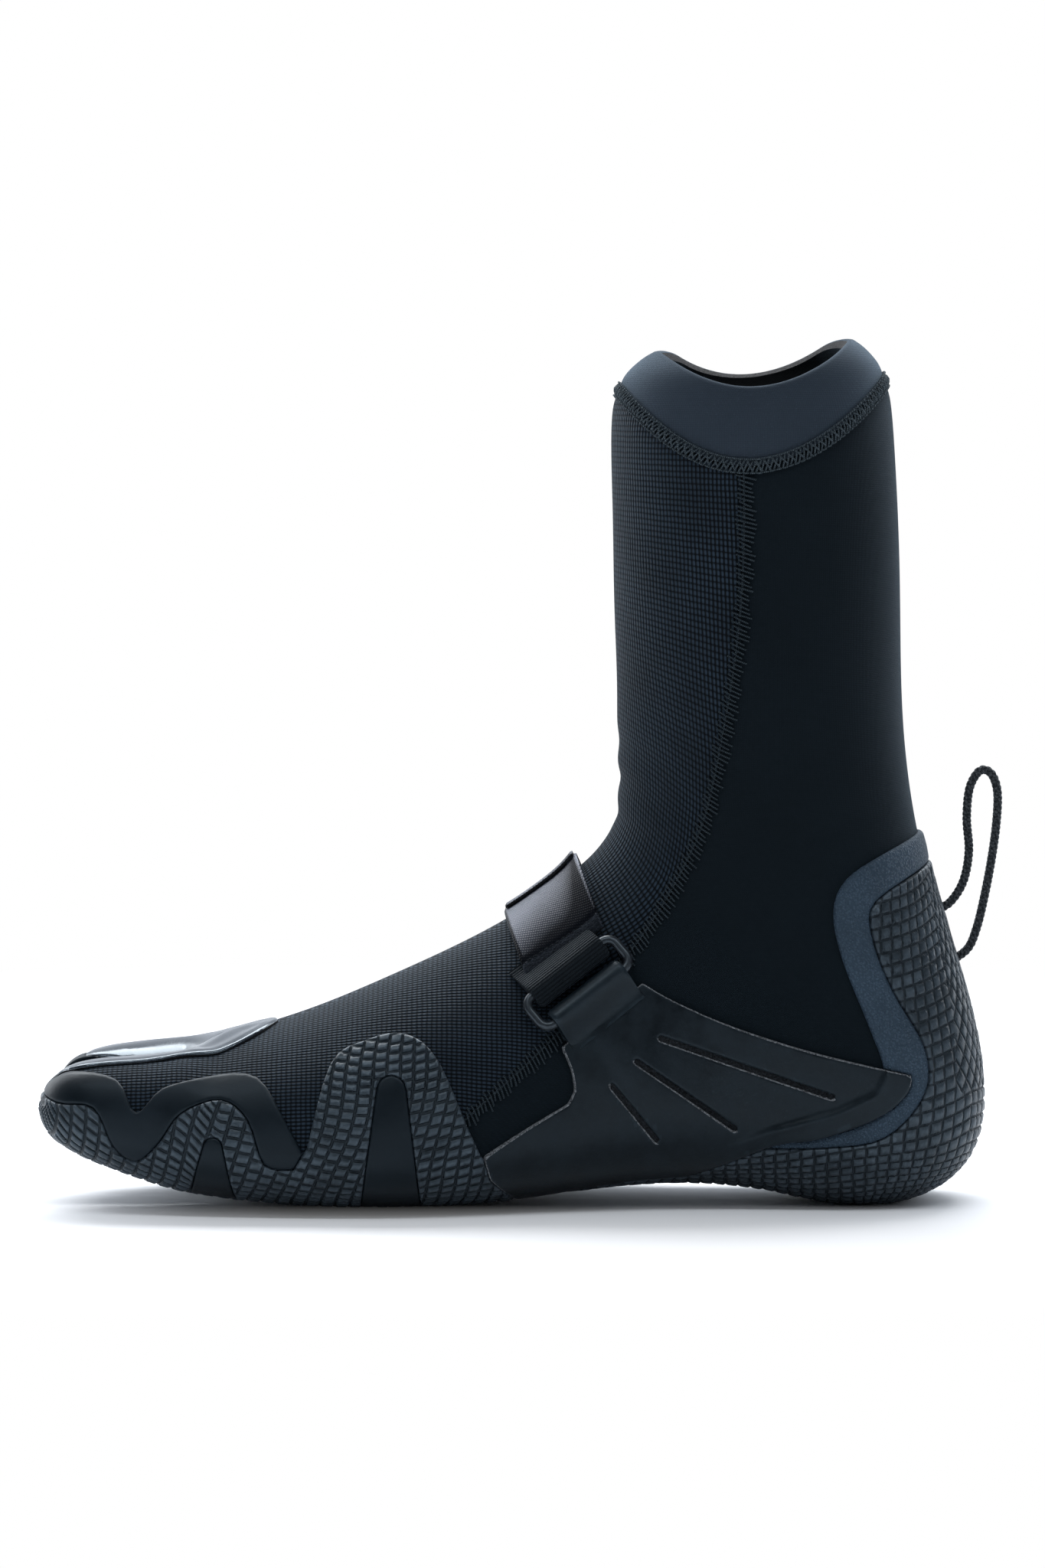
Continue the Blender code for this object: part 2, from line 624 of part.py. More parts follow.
def build_foot_rubber():
    sheet("midfoot_outsole", RUBBER_LAYER, BLACK_RUBBER, inside("behind_ball"),
          inside("sole", GAP), outside("wing", GAP), outside("midfoot_window", GAP),
          inside("ahead_of_heel", GAP), flat=SOLE_FLAT)
    sheet("heel_cup", RUBBER_LAYER, BLACK_RUBBER, inside("sole", GAP), outside("wing", GAP),
          outside("ahead_of_heel", GAP), flat=HEEL_FLAT)
    sheet("heel_counter", COUNTER_LAYER, SLATE, inside("counter", GAP), inside("below_ankle"),
          outside("sole", GAP), outside("wing", GAP))
    for side, keep in SIDES:
        sheet("wing_" + side, RUBBER_LAYER, SMOOTH_RUBBER, inside("wing", GAP),
              keep("inner_side"))
        sheet("side_insert_" + side, RUBBER_LAYER, SMOOTH_RUBBER,
              inside("midfoot_window", GAP), keep("inner_side"), inside("behind_ball"))


# ---------------------------------------------------------------- seam threads
def build_seams():
    sheet("collar_seam", THREAD_LAYER, STITCH, *astride("under_collar", COLLAR_SEAM_HALF))
    seam = astride("front", SEAM_HALF)
    off_wing = outside("wing", SEAM_TO_RUBBER)
    for side, keep in SIDES:
        sheet("leg_seam_" + side, THREAD_LAYER, STITCH, inside("leg"), *seam,
              inside("under_collar", SEAM_TO_COLLAR), keep("inner_side"))
        sheet("instep_seam_" + side, THREAD_LAYER, STITCH, inside("below_ankle"),
              outside("below_seam_break", GAP), *seam, off_wing, keep("inner_side"))
        sheet("quarter_seam_" + side, THREAD_LAYER, STITCH, inside("behind_ball"),
              inside("below_seam_break", GAP), *seam, off_wing,
              outside("sole", SEAM_TO_RUBBER), keep("inner_side"))


# ---------------------------------------------------------------- strap and rings
def over_foot(angle, along, height):
    """A point this high over the skin, round the instep and along the strap's width.

    The angle is in degrees from the crest, positive towards the outer side.
    """
    a = math.radians(angle)
    way = STRAP_UP * math.cos(a) + np.array((0, math.sin(a), 0))
    base = STRAP_CENTRE + STRAP_ACROSS * along
    hit = SKIN.ray_cast(Vector(base + way * RAY_START), Vector(-way))[0]
    return np.array(hit) + way * height


def band(name, start, end, width, low, high, steps, origin=REST):
    """A strap-like sheet that follows the skin between two angles."""
    across = np.linspace(-width / 2, width / 2, 4)
    points = []
    for angle in np.linspace(start, end, steps + 1):
        points += [over_foot(angle, w, low) for w in across]
        points += [over_foot(angle, w, high) for w in across[::-1]]
    faces = skin_rings(steps + 1, 2 * len(across), closed=False)
    return add_mesh(name, points, faces, WEBBING, origin)


def ring_frame(angle):
    """Centre and axes of a ring lying on the foot: long way, towards the crest, outward."""
    sign = 1 if angle > 0 else -1
    along = over_foot(angle, 9, 0) - over_foot(angle, -9, 0)
    up = over_foot(angle - sign * 9, 0, 0) - over_foot(angle + sign * 9, 0, 0)
    along /= np.linalg.norm(along)
    out = np.cross(along, up)
    out /= np.linalg.norm(out)
    if out[1] * sign < 0:
        out = -out
    up = np.cross(out, along)
    if up[2] < 0:
        up = -up
    return over_foot(angle, 0, 0) + out * RING_LIFT, along, up, out


def ring(name, frame, origin):
    """A rectangular ring with round corners."""
    centre, along, up, out = frame
    a = RING_LONG / 2 - RING_BAR - RING_CORNER
    b = RING_SHORT / 2 - RING_BAR - RING_CORNER
    path = []
    for corner_x, corner_y, first in ((a, b, 0), (-a, b, 90), (-a, -b, 180), (a, -b, 270)):
        for k in range(4):
            angle = math.radians(first + 30 * k)
            path.append(centre + along * (corner_x + RING_CORNER * math.cos(angle))
                        + up * (corner_y + RING_CORNER * math.sin(angle)))
    return tube(name, path, RING_BAR, 8, PLASTIC, origin, reference=out, closed=True)


def sleeve(name, centre, axes, outer, finish, origin=REST):
    """A hollow roll of sheet round a ring's bar, open at both ends."""
    along, up, out = axes
    inner, sides = RING_BAR + SLEEVE_PLAY, 10
    points = []
    for radius, end in ((inner, -1), (inner, 1), (outer, 1), (outer, -1)):
        for k in range(sides):
            angle = 2 * math.pi * k / sides
            points.append(centre + along * end * SLEEVE_LENGTH / 2
                          + radius * (up * math.cos(angle) + out * math.sin(angle)))
    return add_mesh(name, points, skin_rings(4, sides, closed=True), finish, origin)


def build_ring(side, sign):
    """A ring that turns on its low bar, with a sleeve on each bar; returns the high bar."""
    frame = ring_frame(sign * RING_ANGLE)
    centre, *axes = frame
    reach = axes[1] * (RING_SHORT / 2 - RING_BAR)
    low_bar, high_bar = centre - reach, centre + reach
    pivot = add_object("ring_pivot_" + side, None, low_bar)
    hang(ring("ring_" + side, frame, low_bar), pivot)
    hang(sleeve("ring_webbing_" + side, high_bar, axes, WEBBING_OUTER, WEBBING, low_bar),
         pivot)
    sleeve("ring_keeper_" + side, low_bar, axes, KEEPER_OUTER, SMOOTH_RUBBER)
    return high_bar


def build_strap(tab_axis):
    """The strap, the patch on it, and the tab over both that turns on a ring's high bar."""
    band("strap", start=-53, end=53, width=STRAP_WIDTH, low=1.3, high=3.0, steps=16)
    band("strap_pile_patch", start=46, end=-14, width=STRAP_WIDTH - 5, low=3.4, high=4.2,
         steps=9)
    tab = band("strap_tab", start=51, end=-6, width=STRAP_WIDTH - 3, low=4.9, high=6.5,
               steps=10, origin=tab_axis)
    hang(tab, add_object("tab_pivot", None, tab_axis))


# ---------------------------------------------------------------- pull loop
def build_pull_loop():
    """A cord loop behind the heel, in the plane y = 0."""
    path = [(x, 0, z) for x, z in through(LOOP_POINTS, 2)]
    low_end = path[-1]
    loop = tube("pull_loop", path, CORD, 6, WEBBING, low_end, reference=(0, 1, 0))
    hang(loop, add_object("loop_pivot", None, low_end))


def main():
    for obj in list(bpy.data.objects):
        bpy.data.objects.remove(obj, do_unlink=True)
    build_upper()
    build_toe_rubber()
    build_foot_rubber()
    build_seams()
    build_ring("inner", -1)
    outer_high_bar = build_ring("outer", 1)
    build_strap(outer_high_bar)
    build_pull_loop()


main()
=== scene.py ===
"""A right split-toe neoprene boot with a rubber sole, two rubber wings and an instep strap.

Lengths are in millimetres in the tables' frame and become metres when a mesh is made. The
toes point to -x, the heel to +x, the inner side to -y; the sole stands on z = 0. The frame's
own origin lies at REST. Every part is a sheet, thread or band laid on one shared skin.
"""
import json
import math

import bpy
import numpy as np
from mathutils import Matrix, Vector
from mathutils.bvhtree import BVHTree


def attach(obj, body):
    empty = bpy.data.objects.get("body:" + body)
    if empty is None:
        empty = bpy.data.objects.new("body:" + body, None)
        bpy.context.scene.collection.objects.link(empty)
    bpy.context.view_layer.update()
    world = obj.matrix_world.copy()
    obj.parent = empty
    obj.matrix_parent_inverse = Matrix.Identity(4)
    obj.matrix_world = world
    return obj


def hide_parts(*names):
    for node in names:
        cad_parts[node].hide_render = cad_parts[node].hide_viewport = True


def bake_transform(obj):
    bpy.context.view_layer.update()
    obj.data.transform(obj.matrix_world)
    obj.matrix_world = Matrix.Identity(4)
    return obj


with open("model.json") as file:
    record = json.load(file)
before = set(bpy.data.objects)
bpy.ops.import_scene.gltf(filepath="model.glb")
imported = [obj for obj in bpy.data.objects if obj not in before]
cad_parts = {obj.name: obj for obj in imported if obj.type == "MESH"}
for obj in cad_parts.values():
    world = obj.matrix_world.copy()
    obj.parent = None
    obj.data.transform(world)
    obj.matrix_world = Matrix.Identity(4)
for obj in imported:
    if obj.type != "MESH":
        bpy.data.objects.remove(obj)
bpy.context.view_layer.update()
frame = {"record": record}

MM = 0.001

# ------------------------------------------------------------------ driving sizes
# Segments: sole to instep, down the wall of the split, along a toe lobe, along the body.
HALF, WALL, STATIONS_TOE, STATIONS_BODY = ((118, 36, 66, 430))
NEOPRENE = 5.0          # cloth thickness
LIFT = 0.12             # gap between the skin and what is laid on it
RUBBER, COUNTER = 2.0, 1.75
TOP = LIFT + RUBBER     # outer face of the rubber, over the skin
CLOTH_GAP, TIGHT = .03, .05     # half the gap at a seam in cloth and in rubber

REST = np.array((19.0, 4.0, 0.0))
JOINT = {joint["name"]: joint for joint in frame["record"]["behaviour"]["joints"]}


def joint_place(name):
    return np.array(JOINT[name]["pos_m"]) / MM + REST


def to_metres(x, y, z):
    """A place in the tables' frame, in the frame's metres."""
    return tuple((np.array((x, y, z), float) - REST) * MM)


SPLIT_X, SPLIT_Y = -178.0, -4.5     # the root of the toe split
# Lowest point of each line, x and z, then how steeply it curves up in front and behind.
COLLAR_LINE = (-19.0, 228.0, .0158, .0133)
RIM_LINE = (-18.0, 252.6, .0154, .0138)
# The strap's centre and its directions off the foot and across its width, x and z.
STRAP_CENTRE, STRAP_UP, STRAP_ACROSS = (-66.0, 59.4), (-0.361, 0.933), (0.755, 0.656)
STRAP_WIDTH = 29.0
STRAP_END = 56.0        # degrees from the crest to each end
ARC_RADIUS = 48.0       # turns degrees round the instep into lengths
RING_LONG, RING_SHORT, RING_BAR = 37.0, 14.0, 1.5      # the bar is given by its radius
RING_ANGLE = 72.0       # degrees from the crest
ROLL_WIDTH = 27         # wing rolls and inner webbing on the ring bars

# From the toe split back to the heel, then up the leg: sole x, z; crest x, z; inner and
# outer half width; centre y; roundness below and above; height share of the widest point.
SLICES = [
    (-178, 4.5, -178, 50.8, 45, 53, -4.5, 3.0, 2.4, .42),
    (-155, 2.2, -153, 58, 48.5, 55, -3.5, 3.2, 2.3, .38),
    (-128, 2.0, -128, 69, 50, 54.5, -3, 3.3, 2.2, .34),
    (-100, 2.0, -106, 79, 46, 51.5, -2, 3.3, 2.15, .33),
    (-72, 5.4, -88, 88.5, 40, 47, 0, 3.2, 2.1, .34),
    (-42, 8.6, -75, 98, 36.5, 42.5, 0, 3.0, 2.1, .36),
    (-12, 6.4, -65.5, 106, 35.5, 39, 0, 3.0, 2.1, .36),
    (9, .4, -61.5, 111, 36, 38.5, 0, 3.0, 2.1, .34),
    (28, .2, -59, 115, 36.5, 38, 0, 3.0, 2.1, .34),
    (45.5, 6.6, -57.4, 120, 37, 37.5, 0, 2.8, 2.1, .34),
    (54.6, 19, -57, 127, 36.5, 37, 0, 2.5, 2.1, .36),
    (55.6, 37, -57, 133, 35.5, 36, 0, 2.3, 2.1, .39),
    (52, 57, -57, 140, 34.5, 35, 0, 2.2, 2.1, .42),
    (46, 77, -57, 147, 34.5, 35, 0, 2.1, 2.1, .46),
    (39, 100, -57, 155, 35, 35.5, 0, 2.1, 2.1, .48),
    (34, 121, -57.2, 164, 36.5, 37, 0, 2.1, 2.1, .5),
    (31, 146, -57.6, 176, 38.5, 39, 0, 2.1, 2.1, .5),
    (30.3, 175, -58, 193, 40, 40.5, 0, 2.1, 2.1, .5),
    (29.6, 205, -58.6, 213, 41, 41.5, 0, 2.1, 2.1, .5),
    (28.5, 235, -59.5, 235, 41.5, 42, 0, 2.1, 2.1, .5),
    (26.8, 255, -58.5, 252, 41, 41.5, 0, 2.1, 2.1, .5),
    (20.5, 263, -51, 259.5, 37, 37.5, 0, 2.1, 2.1, .5),
    (13.0, 269, -42, 265.5, 31, 31.5, 0, 2.1, 2.1, .5),
]
# Slices of a toe lobe from its tip to the split: x; low z; high z; outer y; y at the split.
BIG_TOE = [
    (-233.3, 31, 31, -24, -24), (-232, 26, 37.5, -32, -16.5), (-227.5, 21.5, 42.5, -39, -11.5),
    (-218, 17, 45, -43.5, -9.5), (-204, 12, 45.6, -46, -9), (-190, 7.6, 46.8, -48, -8),
    (-178, 4.5, 50.8, -49.5, -4.5)]
OTHER_TOES = [
    (-231, 30, 30, 7, 7), (-229.5, 24.5, 38, 14, 1), (-224, 20, 43, 23, -0.5),
    (-213, 15, 45, 32, -0.5), (-200, 11, 46, 40.5, 0), (-189, 7.4, 47, 46, -1),
    (-178, 4.5, 50.8, 48.5, -4.5)]


# ------------------------------------------------------------------ small maths
def through(points, steps=4, closed=False):
    """A Catmull-Rom curve through given points."""
    p = np.array(points, float)
    n = len(p)
    q = [p[i % n] if closed else p[min(max(i, 0), n - 1)] for i in range(-1, n + 2)]
    out = []
    for i in range(n if closed else n - 1):
        a, b, c, d = q[i:i + 4]
        for k in range(steps):
            t = k / steps
            out.append(.5 * (2 * b + (c - a) * t + (2 * a - 5 * b + 4 * c - d) * t * t
                             + (3 * b - 3 * c + d - a) * t ** 3))
    if not closed:
        out.append(p[-1])
    return np.array(out)


def spline(rows, t):
    """A uniform cubic B-spline down the rows that starts and ends on them."""
    p = np.array(rows, float)
    p = np.vstack([2 * p[0] - p[1], p, 2 * p[-1] - p[-2]])
    t = np.clip(np.asarray(t, float), 0, len(rows) - 1 - 1e-9)
    i = t.astype(int)
    f = (t - i)[:, None]
    return ((1 - f) ** 3 * p[i] + (3 * f ** 3 - 6 * f ** 2 + 4) * p[i + 1]
            + (-3 * f ** 3 + 3 * f ** 2 + 3 * f + 1) * p[i + 2] + f ** 3 * p[i + 3]) / 6


def running(steps):
    return np.concatenate([[0], np.cumsum(steps)])


def path_run(points):
    """Length along a path at each of its points."""
    return running(np.linalg.norm(np.diff(points, axis=0), axis=1))


def unit(vector):
    return vector / np.linalg.norm(vector)


def unit_rows(vectors):
    return vectors / np.maximum(np.linalg.norm(vectors, axis=1, keepdims=True), 1e-9)


def bell(x, centre, width):
    return np.exp(-((x - centre) / width) ** 2)


def eased(value, low, high):
    """0 below low, 1 above high, smooth between."""
    k = np.clip((value - low) / (high - low), 0, 1)
    return k * k * (3 - 2 * k)


def hashed(a, b):
    """A fixed random value from 0 to 1 for each pair."""
    s = np.sin(a * 12.9898 + b * 78.233) * 43758.5453
    return s - np.floor(s)


def signed(x, z, outline):
    """Distance to a closed outline, negative inside."""
    p = np.asarray(outline, float)
    best = np.full(x.shape, 1e9)
    inside_it = np.zeros(x.shape, bool)
    for (ax, az), (bx, bz) in zip(p, np.roll(p, -1, axis=0)):
        dx, dz = bx - ax, bz - az
        length = dx * dx + dz * dz
        if length < 1e-12:
            continue
        t = np.clip(((x - ax) * dx + (z - az) * dz) / length, 0, 1)
        best = np.minimum(best, np.hypot(x - ax - t * dx, z - az - t * dz))
        crosses = (az > z) != (bz > z)
        with np.errstate(divide="ignore", invalid="ignore"):
            inside_it ^= crosses & (x < ax + (z - az) * dx / (dz if dz else 1e-12))
    return np.where(inside_it, -best, best)


def capsule(x, z, start, end, radius):
    """Distance to a line with round ends, negative inside."""
    ax, az = start
    bx, bz = end
    t = np.clip(((x - ax) * (bx - ax) + (z - az) * (bz - az))
                / ((bx - ax) ** 2 + (bz - az) ** 2), 0, 1)
    return np.hypot(x - ax - t * (bx - ax), z - az - t * (bz - az)) - radius


def turn_from(x, z, start, end):
    """Positive to the left of the line from start to end."""
    return (end[0] - start[0]) * (z - start[1]) - (end[1] - start[1]) * (x - start[0])


def dipped_line(x, low_x, low_z, front, behind):
    d = x - low_x
    return low_z + np.where(d < 0, front, behind) * d * d


# ------------------------------------------------------------------ outlines
# Seen from the side, x and z. The same outline serves both sides of the boot.
SOLE_TOE = through([(-238, 38), (-228, 34), (-217, 33), (-211, 22), (-204, 17.5),
                    (-197, 23), (-190, 32), (-178, 35.5), (-170, 30), (-165, 17),
                    (-156, 15.5)])
SOLE_ARCH = through([(-152, 22), (-145, 46), (-134, 53), (-122, 55), (-112, 47),
                     (-100, 20), (-88, 2)])
SOLE_WAIST = [(-60, 9.5), (-32, 14)]
CUP_RISE = through([(-14, 20), (6, 20), (24, 23), (36, 36), (36, 50), (26, 68),
                    (20, 84), (21, 95), (40, 106)])
SOLE = np.vstack([SOLE_TOE, SOLE_ARCH, SOLE_WAIST, CUP_RISE,
                  [(80, 108), (80, -30), (-260, -30), (-260, 38)]])
TOE_BAND = np.vstack([
    [(-260, 36)], through([(-232, 38), (-224, 42.5), (-210, 41), (-204, 32), (-196, 39),
                           (-182, 42), (-167, 42), (-158, 29), (-152, 18)]),
    [(-140, -30), (-260, -30)]])
WING = np.vstack([
    through([(-75, 51), (-72, 44), (-71, 38)]), through([(-73, 34), (-87, 26), (-99, 18.5)]),
    through([(-97, 12), (-86, 2)]),
    through([(-59, 6), (-32, 12.5), (-10, 21), (4, 23), (21, 29), (30, 36), (32, 42)]),
    through([(22, 44.5), (0, 50), (-22, 57), (-40, 64.5), (-50, 70)])])
COUNTER_AREA = np.vstack([
    through([(37, 115), (23, 109), (12, 102), (8, 92), (11, 77), (19, 57), (23.5, 43),
             (17, 36), (0, 30), (-16, 22)]), [(-16, 0), (80, 0), (80, 116)]])
FRONT = np.vstack([
    [(-20, 300)], through([(-20, 250), (-19.5, 206), (-21, 178), (-25, 150), (-31, 120),
                           (-41, 98), (-54, 79), (-80, 51), (-104, 30), (-124, 10)]),
    [(-140, -40), (-300, -40), (-300, 300)]])


def window(low, low_width, high, high_width):
    """A tapered window with a round top."""
    a, b = np.array(low, float), np.array(high, float)
    u = unit(b - a)
    n = np.array((-u[1], u[0]))
    cap = [b + high_width / 2 * (n * math.cos(k) + u * math.sin(k))
           for k in np.linspace(0, math.pi, 7)]
    return np.array([a + n * low_width / 2] + cap + [a - n * low_width / 2])


WINDOW_BIG = window((-127, -3), 20, (-126.5, 39), 9)
WINDOW_SMALL = window((-181.5, 1), 17, (-180.5, 22), 6)
# From above, x and y: a smooth patch round the split.
SPLIT_PATCH = through([(-229, -22), (-223, -31), (-206, -32.5), (-190, -31), (-177, -27),
                       (-168, -20), (-163, -10), (-162.4, -2), (-165, 6), (-172, 12.5),
                       (-183, 17), (-196, 20), (-209, 20.5), (-220, 17), (-226, 9),
                       (-240, 0), (-240, -14)], closed=True)
# The slots in each wing: both ends, x and z.
SLOTS = [((-44.5, 53.5), (8, 35.8)), ((-52, 46.6), (-21.8, 26.2)), ((-59.5, 39.2), (-45.8, 22.8))]
SLOT_RADIUS = .85
# The heel cup's edge beneath the wing, x and z.
RIDGE = [(23.5, 42.5), (20.7, 37), (9.2, 31.7), (-2.6, 28.4), (-12, 26), (-19.7, 23)]


# ------------------------------------------------------------------ the boot skin
def even_steps(rows, count, columns):
    """Row positions that space the slices evenly, judged by these pairs of columns."""
    fine = np.linspace(0, len(rows) - 1, 40 * len(rows))
    s = spline(rows, fine)
    step = np.zeros(len(fine) - 1)
    for pair in columns:
        step += np.sqrt((np.diff(s[:, pair], axis=0) ** 2).sum(1))
    run = running(step)
    return np.interp(np.linspace(0, run[-1], count + 1), run, fine)


def half_slice(row, side, count):
    """Points from the sole to the instep round one side, evenly spaced."""
    sole_x, sole_z, crest_x, crest_z, inner, outer, centre_y, low, high, widest = row
    width = inner if side < 0 else outer
    a = np.linspace(0, math.pi, 181)
    c = np.cos(a)
    u = np.where(c > 0, widest - widest * np.abs(c) ** (2 / low),
                 widest + (1 - widest) * np.abs(c) ** (2 / high))
    v = width * np.where(c > 0, np.sin(a) ** (2 / low), np.sin(a) ** (2 / high))
    length = math.hypot(crest_x - sole_x, crest_z - sole_z)
    run = running(np.hypot(np.diff(u) * length, np.diff(v)))
    at = np.linspace(0, run[-1], count + 1)
    u, v = np.interp(at, run, u), np.interp(at, run, v)
    return np.stack([sole_x + u * (crest_x - sole_x), centre_y + side * v,
                     sole_z + u * (crest_z - sole_z)], 1)


def lobe_slice(row, side, count, wall):
    """A closed toe slice: round the outer side, then down the wall of the split.

    It is flat-walled at the split and turns into an oval towards the tip."""
    x, low, high, outer, inner = row
    full = abs(outer - inner)
    half = half_slice((x, low, x, high, full, full, inner, 3.0, 2.4, .42), side, count)
    steps = np.linspace(0, 1, wall + 1)[1:-1]
    straight = np.stack([np.full(wall - 1, x), np.full(wall - 1, inner),
                         high + (low - high) * steps], 1)
    flat = np.vstack([half, straight])
    corner = math.radians(38)
    centre_y, w, h = (outer + inner) / 2, full / 2, high - low

    def arc(start, end, number):
        a = np.linspace(start, end, 121)
        c, s = np.cos(a), np.sin(a)
        u = np.where(c > 0, .45 - .45 * np.abs(c) ** .8, .45 + .55 * np.abs(c) ** .8)
        v = w * np.sign(s) * np.abs(s) ** .8
        run = running(np.hypot(np.diff(u) * h, np.diff(v)))
        at = np.linspace(0, run[-1], number + 1)
        return np.stack([np.full(len(at), x), centre_y + side * np.interp(at, run, v),
                         low + h * np.interp(at, run, u)], 1)
    curved = np.vstack([arc(-corner, math.pi + corner, count),
                        arc(math.pi + corner, 2 * math.pi - corner, wall)[1:-1]])
    k = eased(SPLIT_X - x, 0, 15)
    return flat * (1 - k) + curved * k


def vertex_normals(p, faces):
    n = np.cross(p[faces[:, 1]] - p[faces[:, 0]], p[faces[:, 2]] - p[faces[:, 0]])
    out = np.zeros_like(p)
    for k in range(3):
        np.add.at(out, faces[:, k], n)
    return out / np.maximum(np.linalg.norm(out, axis=1, keepdims=True), 1e-12)


def skin():
    """The boot skin: points, triangles, and per point its length along the sole and along
    the crest, then its distance round from each of them."""
    points, faces, lengths = [], [], []

    def add(ring, info):
        start = sum(map(len, points))
        points.append(ring)
        lengths.append(info)
        return np.arange(start, start + len(ring))

    def bridge(a, b):
        a2, b2 = np.roll(a, -1), np.roll(b, -1)
        faces.append(np.stack([a, a2, b2], 1))
        faces.append(np.stack([a, b2, b], 1))

    def round_lengths(half):
        d = path_run(half)
        return d, d[-1] - d            # from the sole, from the instep

    def info(sole, crest, round_sole, round_crest):
        n = len(round_sole)
        return np.stack([np.full(n, sole), np.full(n, crest), round_sole, round_crest], 1)

    rows = spline(SLICES, even_steps(SLICES, STATIONS_BODY, [[0, 1], [2, 3]]))
    body = []
    for row, sole, crest in zip(rows, path_run(rows[:, 0:2]), path_run(rows[:, 2:4])):
        inner, outer = half_slice(row, -1, HALF), half_slice(row, 1, HALF)
        inner_low, inner_high = round_lengths(inner)
        outer_low, outer_high = round_lengths(outer)
        body.append(add(np.vstack([inner, outer[-2:0:-1]]), info(
            sole, crest, np.concatenate([-inner_low, outer_low[-2:0:-1]]),
            np.concatenate([-inner_high, outer_high[-2:0:-1]]))))
    for a, b in zip(body, body[1:]):
        bridge(a, b)

    first = body[0]
    seam = None                        # the wall's last points, shared by both lobes
    for side, table in ((-1, BIG_TOE), (1, OTHER_TOES)):
        rows = spline(table, even_steps(table, STATIONS_TOE, [[0, 1], [0, 2], [0, 3]]))
        low, high = path_run(rows[:, [0, 1]]), path_run(rows[:, [0, 2]])
        low, high = low - low[-1], high - high[-1]

        def lobe_info(ring, sole, crest):
            round_low, round_high = round_lengths(ring[:HALF + 1])
            run = path_run(ring[HALF:])[1:]
            return info(sole, crest,
                        side * np.concatenate([round_low, -(run[-1] - run + .8)]),
                        side * np.concatenate([round_high, -run]))

        if side < 0:
            outer = first[:HALF + 1]
        else:
            outer = np.concatenate([[first[0]], first[:HALF - 1:-1]])
        if seam is None:
            ring = lobe_slice(rows[-1], side, HALF, WALL)
            seam = add(ring[HALF + 1:], lobe_info(ring, 0, 0)[HALF + 1:])
        rings = []
        for k in range(1, len(rows) - 1):
            ring = lobe_slice(rows[k], side, HALF, WALL)
            rings.append(add(ring, lobe_info(ring, low[k], high[k])))
        rings.append(np.concatenate([outer, seam]))
        tip = add(np.array([[rows[0][0], rows[0][3], rows[0][1]]]),
                  np.array([[low[0], high[0], 0, 0]]))[0]
        made = len(faces)
        a = rings[0]
        faces.append(np.stack([np.full(len(a), tip), np.roll(a, -1), a], 1))
        for a, b in zip(rings, rings[1:]):
            bridge(a, b)
        if side > 0:
            for k in range(made, len(faces)):
                faces[k] = faces[k][:, ::-1]
    p, f = np.vstack(points), np.vstack(faces)
    a, b, c = p[f[:, 0]], p[f[:, 1]], p[f[:, 2]]
    if np.einsum("ij,ij->i", a, np.cross(b, c)).sum() < 0:
        f = f[:, ::-1]
    return p, f, np.vstack(lengths)


def relax(p):
    """Soft dents and creases that worn neoprene keeps, as a height along the normal."""
    x, y, z = p.T
    # Broad waves over the leg and tighter ones in front of the ankle.
    h = .45 * np.sin(z / 23 + y / 31) * np.sin(x / 19 + z / 47 + 1.1) * bell(z, 190, 75)
    h += .35 * np.sin(z / 11.5 + y / 17 + 2.0) * bell(z, 150, 34) * bell(x, -42, 34)
    # Creases across the front: z, x, width, height.
    for crease_z, crease_x, width, height in (
            (131, -56, 3.4, -.9), (142, -55, 4.2, -.65), (120, -57, 3.0, -.6)):
        tilted = crease_z - .22 * (x - crease_x) - .004 * y * y
        h += height * bell(z, tilted, width) * bell(x, crease_x, 17) * bell(y, 0, 26)
    # One crease on each side, above the heel.
    h += -.5 * bell(z, 118 + .25 * (x - 10), 5) * bell(x, 12, 20) * bell(np.abs(y), 34, 14)
    return h


SKIN_POINTS, SKIN_FACES, LENGTHS = skin()
SKIN_POINTS = SKIN_POINTS + vertex_normals(SKIN_POINTS, SKIN_FACES) * relax(SKIN_POINTS)[:, None]
SKIN_NORMALS = vertex_normals(SKIN_POINTS, SKIN_FACES)
X, Y, Z = SKIN_POINTS.T


def across_strap(x, z):
    """How far along the strap's width a point is, seen from the side."""
    dx, dz = x - STRAP_CENTRE[0], z - STRAP_CENTRE[1]
    ux, uz = STRAP_UP
    ax, az = STRAP_ACROSS
    return (dx * uz - dz * ux) / (ax * uz - az * ux)


# Signed distances on the skin, zero on each line that cuts it. All but "y" are named after
# what lies on their negative side or after their line.
FIELD = {
    "collar": Z - dipped_line(X, *COLLAR_LINE),
    "rim": Z - dipped_line(X, *RIM_LINE) - 3.4 * eased(Y, 0, 26),
    "front": signed(X, Z, FRONT), "sole": signed(X, Z, SOLE),
    "toe_band": signed(X, Z, TOE_BAND),
    "split_patch": signed(X, Y, SPLIT_PATCH), "split_walls": Z - 37.5,
    "wing": np.maximum(signed(X, Z, WING), 24 - np.abs(Y)),
    "counter": signed(X, Z, COUNTER_AREA),
    "big_window": np.maximum(signed(X, Z, WINDOW_BIG), 28 - np.abs(Y + 3)),
    "small_window": np.maximum(signed(X, Z, WINDOW_SMALL), 26 - np.abs(Y + 5)),
    "instep_low": Z - 72.0, "y": Y, "arch": X + 38.0,
    "split": np.maximum(np.abs(Y - SPLIT_Y) - 6.0, np.abs(X - SPLIT_X + 5) - 12.0),
    "strap_line": across_strap(X, Z),
    "slots": np.minimum.reduce([capsule(X, Z, a, b, SLOT_RADIUS) for a, b in SLOTS]),
}
